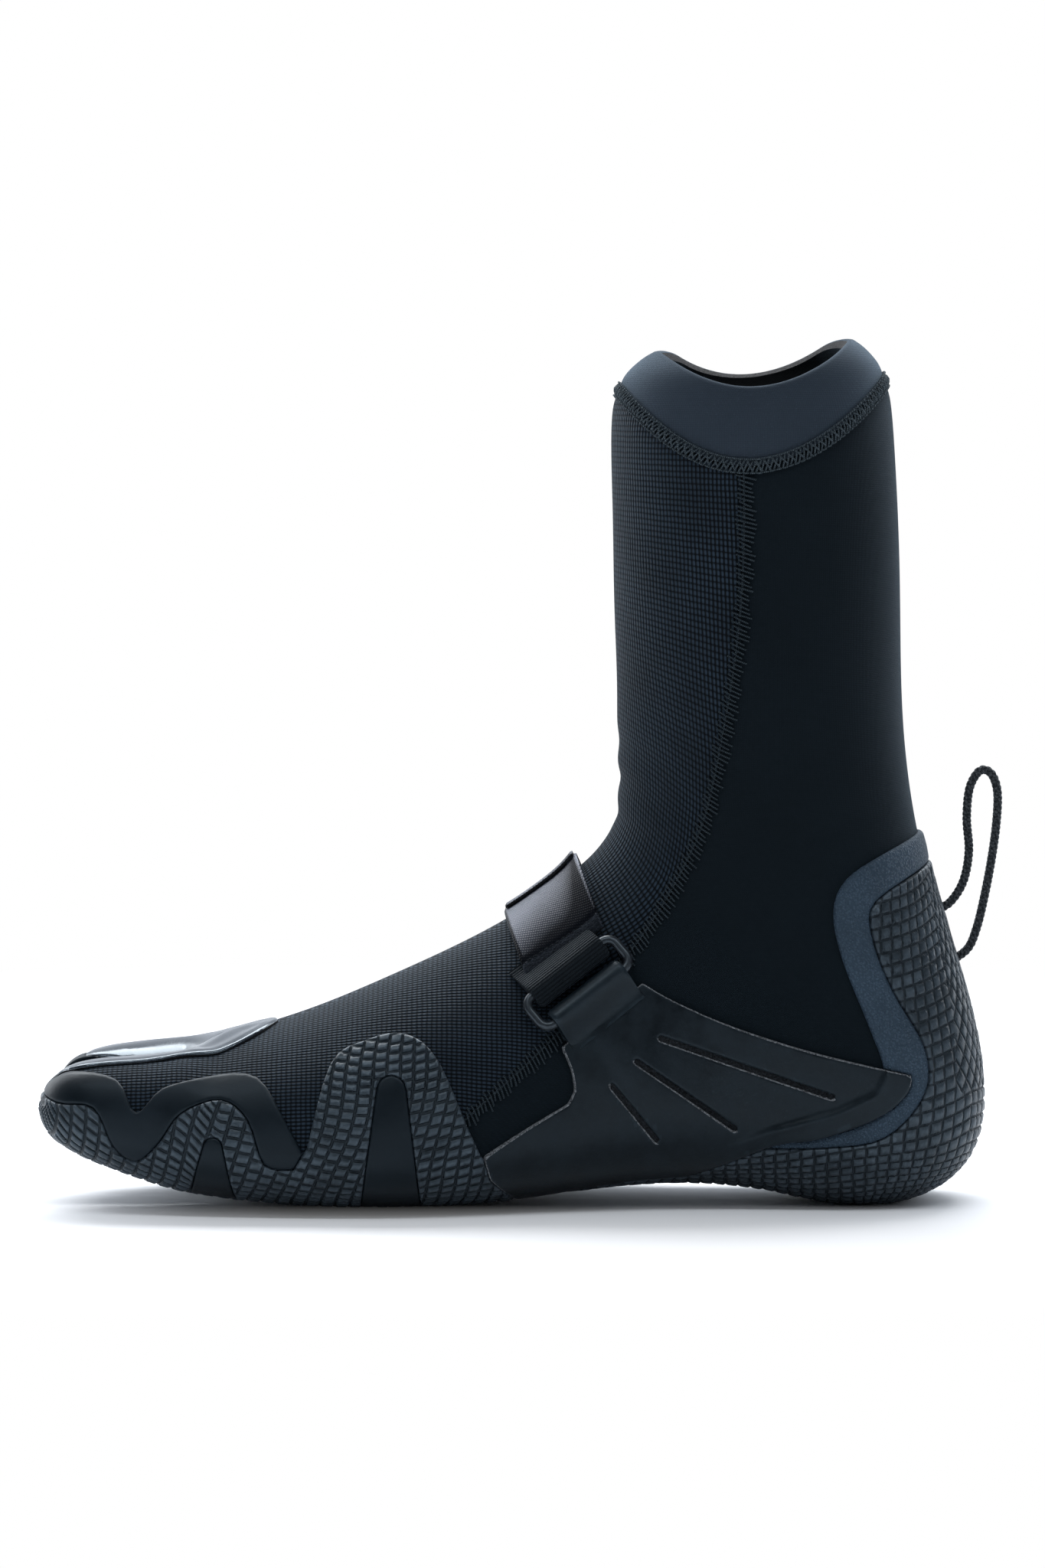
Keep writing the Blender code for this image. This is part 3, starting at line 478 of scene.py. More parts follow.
# A row of skin data: place, normal, the four lengths, the fields.
COLUMN = {name: 6 + i for i, name in enumerate(
    ["sole_run", "crest_run", "sole_round", "crest_round", *FIELD])}
BASE = np.hstack([SKIN_POINTS, SKIN_NORMALS, LENGTHS] + [f[:, None] for f in FIELD.values()])
TREE = BVHTree.FromPolygons(SKIN_POINTS.tolist(), SKIN_FACES.tolist())


# ------------------------------------------------------------------ limits of a sheet
def inside(name, gap=0, joint=False):
    """The negative side of a field, a gap short of its line. A joint has no rounded rim."""
    return name, 1, -gap, joint


def outside(name, gap=0, joint=False):
    return name, -1, -gap, joint


def beyond(data, limit):
    """How far each row is past a limit, negative within it."""
    name, sign, level, _ = limit
    return sign * data[:, COLUMN[name]] - level


def edge_distance(data, limits):
    """Distance to the sheet's own edges."""
    return np.min([-beyond(data, limit) for limit in limits if not limit[3]], axis=0)


HALVES = {"inner": inside("y"), "outer": outside("y")}
SIDE = {"inner": -1, "outer": 1}


# ------------------------------------------------------------------ cutting and thickening
def unique_edges(edges, count):
    """The different edges among these, and which of them each one is."""
    edges = np.sort(edges, axis=1)
    key = edges[:, 0].astype(np.int64) * count + edges[:, 1]
    _, where, back = np.unique(key, return_index=True, return_inverse=True)
    return edges[where], back.reshape(-1)


def face_edges(faces):
    return np.vstack([faces[:, [0, 1]], faces[:, [1, 2]], faces[:, [2, 0]]])


def clip(data, faces, f, both=False, tol=.02):
    """Cuts the patch along f = 0 and keeps the side below it, or both sides."""
    f = np.where(np.abs(f) < tol, -tol, f)
    below = f[faces] < 0
    n = below.sum(1)
    keep = [faces[n == 3]] + ([faces[n == 0]] if both else [])
    one, two = faces[n == 1], faces[n == 2]
    odd = np.vstack([one, two])
    if not len(odd):
        return data, np.vstack(keep)
    pick = np.concatenate([np.argmax(below[n == 1], 1), np.argmin(below[n == 2], 1)])
    r = np.arange(len(odd))
    a, b, c = odd[r, pick], odd[r, (pick + 1) % 3], odd[r, (pick + 2) % 3]
    e, back = unique_edges(np.stack([np.concatenate([a, a]), np.concatenate([b, c])], 1),
                           len(data))
    t = (f[e[:, 0]] / (f[e[:, 0]] - f[e[:, 1]]))[:, None]
    cut = np.vstack([data, data[e[:, 0]] * (1 - t) + data[e[:, 1]] * t])
    new = len(data) + back
    ab, ac = new[:len(odd)], new[len(odd):]
    single = r < len(one)
    for mask, tip_below in ((single, True), (~single, False)):
        A, B, C, AB, AC = a[mask], b[mask], c[mask], ab[mask], ac[mask]
        tip = [np.stack([A, AB, AC], 1)]
        rest = [np.stack([AB, B, C], 1), np.stack([AB, C, AC], 1)]
        if both:
            keep += tip + rest
        else:
            keep += tip if tip_below else rest
    return cut, np.vstack(keep)


def drop_crumbs(data, faces, share=.04):
    """Drops patches much smaller than the largest one."""
    label = np.arange(len(data))
    while True:
        lowest = label[faces].min(1)
        new = label.copy()
        for k in range(3):
            np.minimum.at(new, faces[:, k], lowest)
        new = new[new]
        if (new == label).all():
            break
        label = new
    p = data[:, :3]
    area = np.linalg.norm(np.cross(p[faces[:, 1]] - p[faces[:, 0]],
                                   p[faces[:, 2]] - p[faces[:, 0]]), axis=1)
    _, where = np.unique(label[faces[:, 0]], return_inverse=True)
    where = where.reshape(-1)
    sums = np.bincount(where, area)
    return faces[sums[where] > share * sums.max()]


def compact(data, faces):
    """Keeps only the rows that faces use."""
    used = np.unique(faces)
    index = np.full(len(data), -1)
    index[used] = np.arange(len(used))
    return data[used], index[faces]


def quarter(data, faces):
    """Splits each triangle in four."""
    e, back = unique_edges(face_edges(faces), len(data))
    mid = (data[e[:, 0]] + data[e[:, 1]]) / 2
    m = (len(data) + back).reshape(3, -1)
    a, b, c = faces.T
    return np.vstack([data, mid]), np.vstack([
        np.stack([a, m[0], m[2]], 1), np.stack([m[0], b, m[1]], 1),
        np.stack([m[2], m[1], c], 1), np.stack([m[0], m[1], m[2]], 1)])


def region(limits, rings, finer):
    """The skin within the limits, cut again along rings beside its edge."""
    data, faces = BASE, SKIN_FACES
    for limit in limits:
        touched = (beyond(data, limit)[faces] < 0).any(1)
        data, faces = compact(data, faces[touched])
        data, faces = clip(data, faces, beyond(data, limit))
    data, faces = compact(data, drop_crumbs(data, faces))
    if finer:
        data, faces = quarter(data, faces)
    for r in rings:
        data, faces = clip(data, faces, r - edge_distance(data, limits), both=True)
    return compact(data, faces)


# ------------------------------------------------------------------ meshes
def mesh_object(name, points, faces, materials, face_materials=None, uv=None, sharp=50):
    """A piece from millimetre points; uv is per point, in millimetres along the cloth."""
    mesh = bpy.data.meshes.new(name)
    points = (np.asarray(points, np.float64) - REST) * MM
    even = isinstance(faces, np.ndarray)
    if even:
        n, k = faces.shape
        mesh.vertices.add(len(points))
        mesh.vertices.foreach_set("co", points.astype(np.float32).ravel())
        mesh.loops.add(n * k)
        mesh.loops.foreach_set("vertex_index", faces.astype(np.int32).ravel())
        mesh.polygons.add(n)
        mesh.polygons.foreach_set("loop_start", np.arange(0, n * k, k, dtype=np.int32))
        mesh.update(calc_edges=True)
    else:
        mesh.from_pydata(points.tolist(), [], [tuple(map(int, f)) for f in faces])
    for material in materials:
        mesh.materials.append(material)
    if face_materials is not None:
        mesh.polygons.foreach_set("material_index", np.asarray(face_materials, np.int32))
    layer = mesh.uv_layers.new(name="weave")
    loops = np.empty(len(mesh.loops), np.int32)
    mesh.loops.foreach_get("vertex_index", loops)
    flat = np.asarray(uv, np.float32)[loops]
    if even:                           # no face spans the cut of the weave
        v = flat[:, 1].reshape(-1, faces.shape[1])
        wide = (v.max(1) - v.min(1)) > 60
        v[wide] = np.abs(v[wide])
        flat[:, 1] = v.ravel()
    layer.data.foreach_set("uv", flat.ravel())
    mesh.validate()
    mesh.update()
    mesh.shade_smooth()
    mesh.set_sharp_from_angle(angle=math.radians(sharp))
    obj = bpy.data.objects.new(name, mesh)
    bpy.context.scene.collection.objects.link(obj)
    return obj


def crest_uv(data):
    return data[:, [COLUMN["crest_run"], COLUMN["crest_round"]]]


def sole_uv(data):
    return data[:, [COLUMN["sole_run"], COLUMN["sole_round"]]]


def sheet(name, limits, low, high, materials, radius=1.0, drop=.75, detail=None, finer=False,
          height=None, uv=crest_uv, on_floor=False, cut=None):
    """A closed sheet with rounded rims over a region of the skin, from low to high over it.

    materials: face, back, rim. radius and drop are the width and depth of the rounding.
    height(data, distance) raises the face, detail too but fading out at the rim.
    cut(data) marks where the rim's material also covers the rounded edge; on the wings this paints
    highlights on edges that face up."""
    rings = ((radius * .12, radius * .45, radius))
    data, faces = region(limits, rings, finer)
    d = np.clip(edge_distance(data, limits), 0, None)
    p, n = data[:, :3], unit_rows(data[:, 3:6])
    k = 1 - np.clip(d / radius, 0, 1)
    top = high - drop * (1 - np.sqrt(np.clip(1 - k * k, 0, 1)))
    if height is not None:
        top = top + height(data, d)
    if detail is not None:
        top = top + detail(data, d) * eased(d, .3, 1.5)
    front = p + n * top[:, None]
    back = p + n * low
    if on_floor:
        front[:, 2] = np.maximum(front[:, 2], 0)
    e = face_edges(faces)
    m = len(data)
    key = e[:, 0].astype(np.int64) * m + e[:, 1]
    mirror = e[:, 1].astype(np.int64) * m + e[:, 0]
    rim = e[~np.isin(key, mirror)]
    walls = np.vstack([np.stack([rim[:, 1], rim[:, 0], rim[:, 0] + m], 1),
                       np.stack([rim[:, 1], rim[:, 0] + m, rim[:, 1] + m], 1)])
    which = np.repeat([0, 1, 2], [len(faces), len(faces), len(walls)])
    if cut is not None:
        shown = (d < radius * .46) & cut(data)
        which[:len(faces)][shown[faces].all(1)] = 2
    return mesh_object(name, np.vstack([front, back]),
                       np.vstack([faces, faces[:, ::-1] + m, walls]), materials, which,
                       np.vstack([uv(data)] * 2))


def bars(name, paths, radius, sides, material, closed=False):
    """Round threads or cords along several paths, joined as one piece."""
    points, faces, uvs = [], [], []
    start = 0
    for path in paths:
        path = np.asarray(path, float)
        n = len(path)
        if closed:
            t = np.roll(path, -1, 0) - np.roll(path, 1, 0)
        else:
            t = np.gradient(path, axis=0)
        t = unit_rows(t)
        ref = np.zeros(3)
        ref[np.argmin(np.abs(t[0]))] = 1
        a = np.zeros_like(t)
        for i in range(n):
            ref = ref - t[i] * (ref @ t[i])
            ref /= max(np.linalg.norm(ref), 1e-9)
            a[i] = ref
        b = np.cross(t, a)
        w = np.arange(sides) * 2 * math.pi / sides
        ring = path[:, None] + radius * (a[:, None] * np.cos(w)[None, :, None]
                                         + b[:, None] * np.sin(w)[None, :, None])
        points.append(ring.reshape(-1, 3))
        uvs.append(np.stack([np.repeat(path_run(path), sides), np.tile(w, n)], 1))
        i, k = np.meshgrid(np.arange(n if closed else n - 1), np.arange(sides), indexing="ij")
        i2, k2 = (i + 1) % n, (k + 1) % sides
        quad = np.stack([i * sides + k, i * sides + k2, i2 * sides + k2, i2 * sides + k], -1)
        faces += (quad.reshape(-1, 4) + start).tolist()
        if not closed:
            faces.append([start + q for q in range(sides)][::-1])
            faces.append([start + (n - 1) * sides + q for q in range(sides)])
        start += n * sides
    return mesh_object(name, np.vstack(points), faces, [material], uv=np.vstack(uvs), sharp=60)


# ------------------------------------------------------------------ node helpers
def operator(operation, swapped=False):
    def apply(self, other):
        pair = (other, self) if swapped else (self, other)
        return self.nodes.math(operation, *pair)
    return apply


def function(operation):
    return lambda self: self.nodes.math(operation, self)


class Value:
    """A node's output. Each sum or function of it adds one Math node."""

    def __init__(self, nodes, socket):
        self.nodes = nodes
        self.socket = socket

    __add__, __radd__ = operator("ADD"), operator("ADD", True)
    __sub__, __rsub__ = operator("SUBTRACT"), operator("SUBTRACT", True)
    __mul__, __truediv__ = operator("MULTIPLY"), operator("DIVIDE")
    __mod__, __pow__ = operator("FLOORED_MODULO"), operator("POWER")
    maximum, minimum = operator("MAXIMUM"), operator("MINIMUM")
    above, below = operator("GREATER_THAN"), operator("LESS_THAN")
    __abs__, sin = function("ABSOLUTE"), function("SINE")
    fract, floor = function("FRACT"), function("FLOOR")

    def clamp(self):
        self.socket.node.use_clamp = True
        return self

    def span(self, low, high, to=(0.0, 1.0)):
        """Maps low..high to another range, and stops at its ends."""
        return self.nodes.value("MapRange", {"Value": self, "From Min": low, "From Max": high,
                                             "To Min": to[0], "To Max": to[1]})

    def wave(self, pitch, shift=0.0):
        """0 to 1, one crest every pitch."""
        return (self * (2 * math.pi / pitch) + shift).sin() * .5 + .5

    def mix(self, dark, light):
        """A colour: dark at 0, light at 1."""
        return self.nodes.value("Mix", {0: self, 6: dark, 7: light}, 2, data_type="RGBA")


class Nodes:
    """Builds shader nodes in a tree."""

    def __init__(self, tree):
        self.tree = tree

    def feed(self, socket, value):
        if isinstance(value, Value):
            self.tree.links.new(value.socket, socket)
        elif socket.type == "RGBA" and len(value) == 3:
            socket.default_value = (*value, 1)
        else:
            socket.default_value = value

    def node(self, kind, inputs=(), **props):
        made = self.tree.nodes.new("ShaderNode" + kind)
        for key, value in props.items():
            setattr(made, key, value)
        for key, value in dict(inputs).items():
            self.feed(made.inputs[key], value)
        return made

    def value(self, kind, inputs=(), output=0, **props):
        return Value(self, self.node(kind, inputs, **props).outputs[output])

    def math(self, operation, a, b=0.0):
        return self.value("Math", {0: a, 1: b}, operation=operation)

    def split(self, vector):
        return [Value(self, out) for out in self.node("SeparateXYZ", {0: vector}).outputs]

    def camera_ray(self):
        return self.value("LightPath", output="Is Camera Ray")


class Look(Nodes):
    """A Principled material; each keyword is one of its inputs."""

    def __init__(self, name, **values):
        self.material = bpy.data.materials.new(name)
        self.material.use_nodes = True
        super().__init__(self.material.node_tree)
        self.bsdf = self.tree.nodes["Principled BSDF"]
        self.put(**values)

    def put(self, **values):
        for key, value in values.items():
            self.feed(self.bsdf.inputs[key.replace("_", " ")], value)

    def weave(self):
        """Millimetres along and across the cloth, and both as a vector."""
        uv = self.value("UVMap", uv_map="weave")
        u, r, _ = self.split(uv)
        return u, r, uv

    def place(self):
        return self.value("TexCoord", output="Object")

    def pointiness(self):
        return self.value("NewGeometry", output="Pointiness")

    def noise(self, where, scale, detail=2.0, rough=.5, distortion=0.0):
        return self.value("TexNoise", {"Vector": where, "Scale": scale, "Detail": detail,
                                       "Roughness": rough, "Distortion": distortion}, "Fac")

    def cells(self, where, scale, random=1.0):
        return self.value("TexVoronoi", {"Vector": where, "Scale": scale,
                                         "Randomness": random}, "Distance")

    def bump(self, height, depth):
        """Relief; depth is in millimetres."""
        self.put(Normal=self.value("Bump", {"Height": height, "Distance": depth * MM,
                                            "Strength": 1.0}))


# ------------------------------------------------------------------ tile patterns
# Shared by the sole's meshes and materials. Lengths are tile sizes along and across.
FORE_TILE = (4.3, 3.0)
FORE_SKEW = .25                 # how far a row leans
FORE_SHIFT, FORE_CREEP = .42, .18     # every other row shifts, each one creeps on
HEEL_TILE = 3.9
HEEL_SHIFT = .12
HEEL_LEAN, HEEL_LEAN_FROM = .22, 20   # rows climb beyond this distance from the back
DIAMOND_HIGH, DIAMOND_WIDE, DIAMOND_SIDE = 7.2, 4.9, 4
# The diamonds lie above this height and within this distance of the back, less with height.
DIAMOND_FROM_Z, DIAMOND_REACH, DIAMOND_NARROW = 36, 27, .1

# ------------------------------------------------------------------ materials
COOL = (.72, .88, 1.0)
COOL_SHEEN = (.6, .8, 1.0)


def grid_knit():
    """Cloth of raised ribs broken into dashes."""
    L = Look("grid_knit", Specular_IOR_Level=.14, Specular_Tint=COOL, Sheen_Weight=.05,
             Sheen_Roughness=.4, Sheen_Tint=COOL_SHEEN)
    rib_pitch, dash_pitch = 1.3, 1.6
    u, r, uv = L.weave()
    wander = (L.noise(uv, scale=.12, detail=2) - .5) * .5
    rib = (((r + wander) / rib_pitch).fract() * math.pi).sin()
    dash = (((u + wander) / dash_pitch).fract() * math.pi).sin()
    nub = rib ** .8 * (.3 + dash ** .6 * .7)
    fuzz = L.noise(uv, scale=2.6, detail=3, rough=.7)
    patchy = L.noise(uv, scale=.05, detail=2).span(.3, .7, to=(.75, 1.2))
    tone = (nub.span(.4, .95) * patchy * fuzz.span(.3, .75, to=(.75, 1.15))).clamp()
    L.put(Base_Color=tone.mix(dark=(.0006, .0010, .0016), light=(.0185, .0300, .0455)),
          Roughness=nub.span(0, 1, to=(.95, .62)))
    L.bump(nub + fuzz * .22, depth=.5)
    return L.material


def jersey(name="jersey", dark=(.0020, .0036, .0052), light=(.0068, .0118, .0160), sheen=.12):
    """Fine plain knit with pale specks."""
    L = Look(name, Specular_IOR_Level=.12, Specular_Tint=COOL, Roughness=.92,
             Sheen_Weight=sheen, Sheen_Roughness=.35, Sheen_Tint=COOL_SHEEN)
    u, r, uv = L.weave()
    wale = r.wave(pitch=.42)
    course = (u + wale * .12).wave(pitch=.36)
    fuzz = L.noise(uv, scale=3.2, detail=3, rough=.75)
    knit = wale * course + fuzz * .8
    speck = L.noise(uv, scale=1.7, detail=1, rough=.4).span(.66, .78, to=(0, .9))
    broad = L.noise(uv, scale=.035, detail=3).span(.3, .7, to=(.8, 1.2))
    tone = (knit.span(.3, 1.5, to=(.1, .75)) * broad + speck * .5).clamp()
    L.put(Base_Color=tone.mix(dark, light))
    L.bump(knit, depth=.08)
    return L.material


def rubber(name, dark, light, rough, grain, cloud, edge, spec, dust=.15, dust_scale=2600):
    """Moulded rubber: cloudy bloom on the face, and a painted highlight, as strong as edge, on its
    convex edges.
    """
    L = Look(name, Specular_IOR_Level=spec, Specular_Tint=COOL)
    at = L.place()
    bloom = L.noise(at, scale=cloud, detail=5, rough=.62)
    fine = L.noise(at, scale=900, detail=3, rough=.65)
    speck = (L.noise(at, scale=dust_scale, detail=1).span(.62, .76)
             * L.noise(at, scale=45, detail=2).span(.4, .62, to=(.25, 1.2)))
    # Painted highlight: pointiness lightens the colour on convex edges, in place of the light they
    # catch.
    high = L.pointiness().span(.505, .56)
    tone = (bloom.span(.36, .68) * .5 + (high * edge + speck * dust)).clamp()
    L.put(Base_Color=tone.mix(dark, light),
          Roughness=bloom.span(.35, .7, to=(rough - .06, rough + .1))
          + fine.span(.3, .7, to=(-.03, .03)))
    L.bump(fine + bloom * .6, depth=grain)
    return L.material


def tile_face(L, a, b, size_a, size_b, soft):
    """1 on a tile, 0 in the groove round it, soft between."""
    groove = .16
    to_edge_a = (.5 - abs(a.fract() - .5)) * size_a
    to_edge_b = (.5 - abs(b.fract() - .5)) * size_b
    return L.value("MapRange", {"Value": to_edge_a.minimum(to_edge_b), "From Min": groove,
                                "From Max": groove + soft}, interpolation_type="SMOOTHSTEP")


def tile_chance(L, a, b):
    """A random value per tile."""
    cell = L.value("CombineXYZ", {0: a.floor(), 1: b.floor()})
    return L.value("TexWhiteNoise", {"Vector": cell}, "Value", noise_dimensions="2D")


def sway(value, rate, shift, size):
    return (value * rate + shift).sin() * size


def forefoot_lattice(L, u, v, at):
    """Tile position across the rows, tile face and chance per tile, as forefoot_tiles."""
    shift_u = sway(v, 1 / 8.5, .6, .9) + (u / 13 + v / 6).sin() * .6
    shift_v = sway(u, 1 / 9.5, 0, .8) + (v / 5.3 + u / 21).sin() * .5
    a = (u + shift_u + v * FORE_SKEW) / FORE_TILE[0]
    row = a.floor()
    b = (v + shift_v) / FORE_TILE[1] + ((row % 2) * FORE_SHIFT + row * FORE_CREEP)
    return b, tile_face(L, a, b, *FORE_TILE, soft=.36), tile_chance(L, a, b)


def heel_lattice(L, u, v, at):
    """The same for the heel: squares, and diamonds behind, as heel_tiles."""
    a = (u + sway(v, 1 / 8, 0, .5)
         + (abs(v) - HEEL_LEAN_FROM).maximum(0) * HEEL_LEAN) / HEEL_TILE
    b = (v + sway(u, 1 / 9, 0, .5)) / HEEL_TILE + (a.floor() % 2) * HEEL_SHIFT
    square = tile_face(L, a, b, HEEL_TILE, HEEL_TILE, soft=.34)
    p, q = u / DIAMOND_HIGH, v / DIAMOND_WIDE
    diamond = tile_face(L, p + q, p - q, DIAMOND_SIDE, DIAMOND_SIDE, soft=.34)
    z = L.split(at)[2] / MM
    side = abs(v) + (z - DIAMOND_FROM_Z) * DIAMOND_NARROW
    back = z.above(DIAMOND_FROM_Z) * side.below(DIAMOND_REACH)
    return b, diamond * back + square * (1.0 - back), tile_chance(L, a, b)


def tread(name, lattice):
    """The sole's rubber: the mesh carries the tiles, the nodes their crisp grooves, with painted
    shade in the grooves and a painted highlight on the tiles' convex edges.
    """
    L = Look(name, Specular_IOR_Level=.4, Specular_Tint=COOL)
    u, v, _ = L.weave()
    at = L.place()
    b, face, chance = lattice(L, u, v, at)
    bloom = L.noise(at, scale=60, detail=5, rough=.62)
    fine = L.noise(at, scale=1100, detail=3, rough=.65)
    scuff = L.noise(at, scale=420, detail=4, rough=.7).span(.5, .68)
    # Painted highlight: pointiness lightens the tiles' convex edges, in place of the light from
    # above that they catch.
    high = L.pointiness().span(.505, .57)
    tone = bloom.span(.36, .68) * .35 + (high * .7 + (chance * .22 + scuff * .18))
    # Painted shade: in the grooves the colour drops to 0.15 of itself.
    tone = (tone * face.span(0, 1, to=(.15, 1))).clamp()
    L.put(Base_Color=tone.mix(dark=(.0022, .0040, .0060), light=(.052, .070, .088)),
          Roughness=chance.span(0, 1, to=(.33, .47)) + face.span(0, 1, to=(.3, 0)))
    tilt = (b.fract() - .5) * .35
    relief = face * (.75 + tilt + chance * .25)
    L.bump(relief + fine * .08, depth=.5)
    return L.material


def pebble():
    """Rubber with a pebbled grain."""
    L = Look("slate_rubber", Specular_IOR_Level=.34, Specular_Tint=COOL)
    at = L.place()
    stir = L.value("TexNoise", {"Vector": at, "Scale": 700.0}, "Color")
    shift = L.value("VectorMath", {0: stir, "Scale": .0006}, operation="SCALE")
    warped = L.value("VectorMath", {0: at, 1: shift}, operation="ADD")
    hill = 1.0 - L.cells(warped, scale=1350, random=.9).span(.08, .62)
    bloom = L.noise(at, scale=60, detail=4, rough=.6)
    tone = (bloom.span(.3, .7, to=(.65, 1.1)) * hill.span(0, .8, to=(.45, 1.0))).clamp()
    L.put(Base_Color=tone.mix(dark=(.0066, .0125, .0200), light=(.0330, .0560, .0850)),
          Roughness=hill.span(0, 1, to=(.72, .46)))
    L.bump(hill, depth=.3)
    return L.material


def twill():
    """Slanting weave, painted lighter where it faces up (painted light from above), with more
    specular there.
    """
    L = Look("strap_twill", Specular_IOR_Level=.42, Specular_Tint=(.7, .8, 1.0),
             Sheen_Weight=.05, Sheen_Roughness=.2, Sheen_Tint=(.6, .72, 1.0))
    u, r, uv = L.weave()
    cross = (u + r * .6).wave(pitch=1.15) ** .7 * (r - u * .45).wave(pitch=.95)
    fuzz = L.noise(uv, scale=3.0, detail=3, rough=.7)
    wide = L.noise(uv, scale=.09, detail=3)
    tone = (cross * .6 + wide.span(.3, .7, to=(0, .4))).clamp()
    # Painted light: the normal's height picks a lit copy of the colour on top and a shaded copy
    # below it.
    up = L.split(L.value("NewGeometry", output="Normal"))[2]
    painted_top_light = up.span(.6, .9)
    L.put(Base_Color=painted_top_light.mix(dark=tone.mix((.0007, .0010, .0016), (.0033, .0045, .0070)),
                             light=tone.mix((.018, .020, .029), (.058, .063, .086))),
          Specular_IOR_Level=painted_top_light.span(0, 1, to=(.05, .85)),
          Roughness=cross.span(0, 1, to=(.46, .32)))
    L.bump(cross + fuzz * .3, depth=.12)
    return L.material


def webbing():
    L = Look("ribbed_webbing", Specular_IOR_Level=.13, Specular_Tint=COOL, Sheen_Weight=.05,
             Sheen_Tint=COOL_SHEEN)
    rib_pitch, pick_pitch = .95, .5
    u, r, _ = L.weave()
    rib = r.wave(rib_pitch) ** .6
    pick = (u + (r / rib_pitch).floor() * .25).wave(pick_pitch)
    height = rib * (.65 + pick * .35)
    L.put(Base_Color=height.span(.1, 1).mix(dark=(.0008, .0011, .0016),
                                            light=(.0046, .0066, .009)),
          Roughness=height.span(0, 1, to=(.85, .6)))
    L.bump(height, depth=.3)
    return L.material


def plastic():
    L = Look("moulded_plastic", Specular_IOR_Level=.5, Specular_Tint=COOL)
    at = L.place()
    fine = L.noise(at, scale=1500, detail=3, rough=.6)
    scuff = L.noise(at, scale=260, detail=5, rough=.7, distortion=.8).span(.52, .72)
    L.put(Base_Color=scuff.mix(dark=(.012, .014, .017), light=(.03, .035, .041)),
          Roughness=scuff.span(0, 1, to=(.28, .42)))
    L.bump(fine, depth=.02)
    return L.material


def fibre(name, dark, light, pitch=.55, spec=.25):
    """Thread or cord: strands twisting round it."""
    L = Look(name, Specular_IOR_Level=spec, Specular_Tint=COOL, Roughness=.75, Sheen_Weight=.12,
             Sheen_Roughness=.4, Sheen_Tint=COOL_SHEEN)
    u, angle, _ = L.weave()
    ply = u.wave(pitch, shift=angle)
    fuzz = L.noise(L.place(), scale=2600, detail=3, rough=.7)
    L.put(Base_Color=(ply * fuzz.span(.3, .7, to=(.6, 1.2))).clamp().mix(dark, light))
    L.bump(ply + fuzz * .6, depth=.09)
    return L.material


def cut_edge(name, dark, light):
    """Cut edge of a laminate: foam with torn fibres."""
    L = Look(name, Specular_IOR_Level=.15, Roughness=.95)
    at = L.place()
    tear = L.noise(at, scale=1500, detail=4, rough=.8)
    pores = L.cells(at, scale=2400)
    tone = (tear.span(.38, .66) * pores.span(.1, .6, to=(.6, 1))).clamp()
    L.put(Base_Color=tone.mix(dark, light))
    L.bump(tear + pores, depth=.2)
    return L.material


def pile():
    L = Look("loop_pile", Specular_IOR_Level=.12, Specular_Tint=COOL, Roughness=.95,
             Sheen_Weight=.08, Sheen_Roughness=.5, Sheen_Tint=(.6, .75, 1.0))
    at = L.place()
    curl = L.cells(at, scale=1400)
    tuft = L.noise(at, scale=900, detail=4, rough=.75, distortion=1.5)
    L.put(Base_Color=tuft.span(.35, .68).mix(dark=(.0015, .002, .0028),
                                             light=(.013, .0155, .0205)))
    L.bump(curl + tuft, depth=.45)
    return L.material


KNIT, JERSEY = grid_knit(), jersey()
# Collar band jersey, painted lighter than the other jersey: partly its own colour, partly painted
# light on the band that faces up.
COLLAR_CLOTH = jersey("collar_jersey", dark=(.0155, .0215, .0295), light=(.041, .055, .075),
                      sheen=.28)
LINING = jersey("lining", dark=(.006, .0065, .007), light=(.02, .021, .022), sheen=.3)
FOAM = cut_edge("foam_edge", dark=(.012, .0125, .0135), light=(.06, .062, .066))
DARK_EDGE = cut_edge("dark_edge", dark=(.003, .0035, .004), light=(.011, .0125, .014))
# Pale cut edge of the wings; on their upward-facing rounded edges it also serves as a painted
# highlight.
PALE_EDGE_AND_HIGHLIGHT = cut_edge("pale_edge_and_highlight", dark=(.012, .014, .017), light=(.25, .27, .29))
FUZZ = cut_edge("slot_fuzz", dark=(.0022, .0028, .0034), light=(.019, .0225, .027))
FOREFOOT_TREAD = tread("sole_rubber", forefoot_lattice)
HEEL_TREAD = tread("heel_tread", heel_lattice)
# In the rubbers below, edge sets the painted highlight on convex edges.
PATCH_RUBBER = rubber("smooth_rubber", dark=(.0024, .0046, .0068), light=(.0070, .0112, .0160),
                      rough=.42, grain=.04, cloud=38, edge=.3, spec=.2)
WING_RUBBER = rubber("wing_rubber", dark=(.0014, .0027, .0041), light=(.0085, .0138, .0185),
                     rough=.38, grain=.07, cloud=110, edge=.7, spec=.26, dust=.35,
                     dust_scale=1300)
# Strip rubber: its base colour is lighter than the smooth rubber, partly its own colour and partly a
# painted highlight for its gloss.
STRIP_RUBBER = rubber("strip_rubber", dark=(.006, .0075, .0115), light=(.022, .026, .036),
                      rough=.17, grain=.02, cloud=60, edge=.5, spec=.9)
SLATE = pebble()
TWILL, WEBBING, PLASTIC, PILE = twill(), webbing(), plastic(), pile()
THREAD = fibre("thread", dark=(.006, .0085, .0105), light=(.055, .072, .083))
SEAM_THREAD = fibre("seam_thread", dark=(.0028, .0042, .0054), light=(.034, .047, .056),
                    spec=.15)
STRAP_THREAD = fibre("strap_thread", dark=(.001, .0013, .0018), light=(.01, .012, .015),
                     spec=.15)
CORD_LOOK = fibre("cord", dark=(.006, .0066, .0074), light=(.045, .048, .052), pitch=.7)


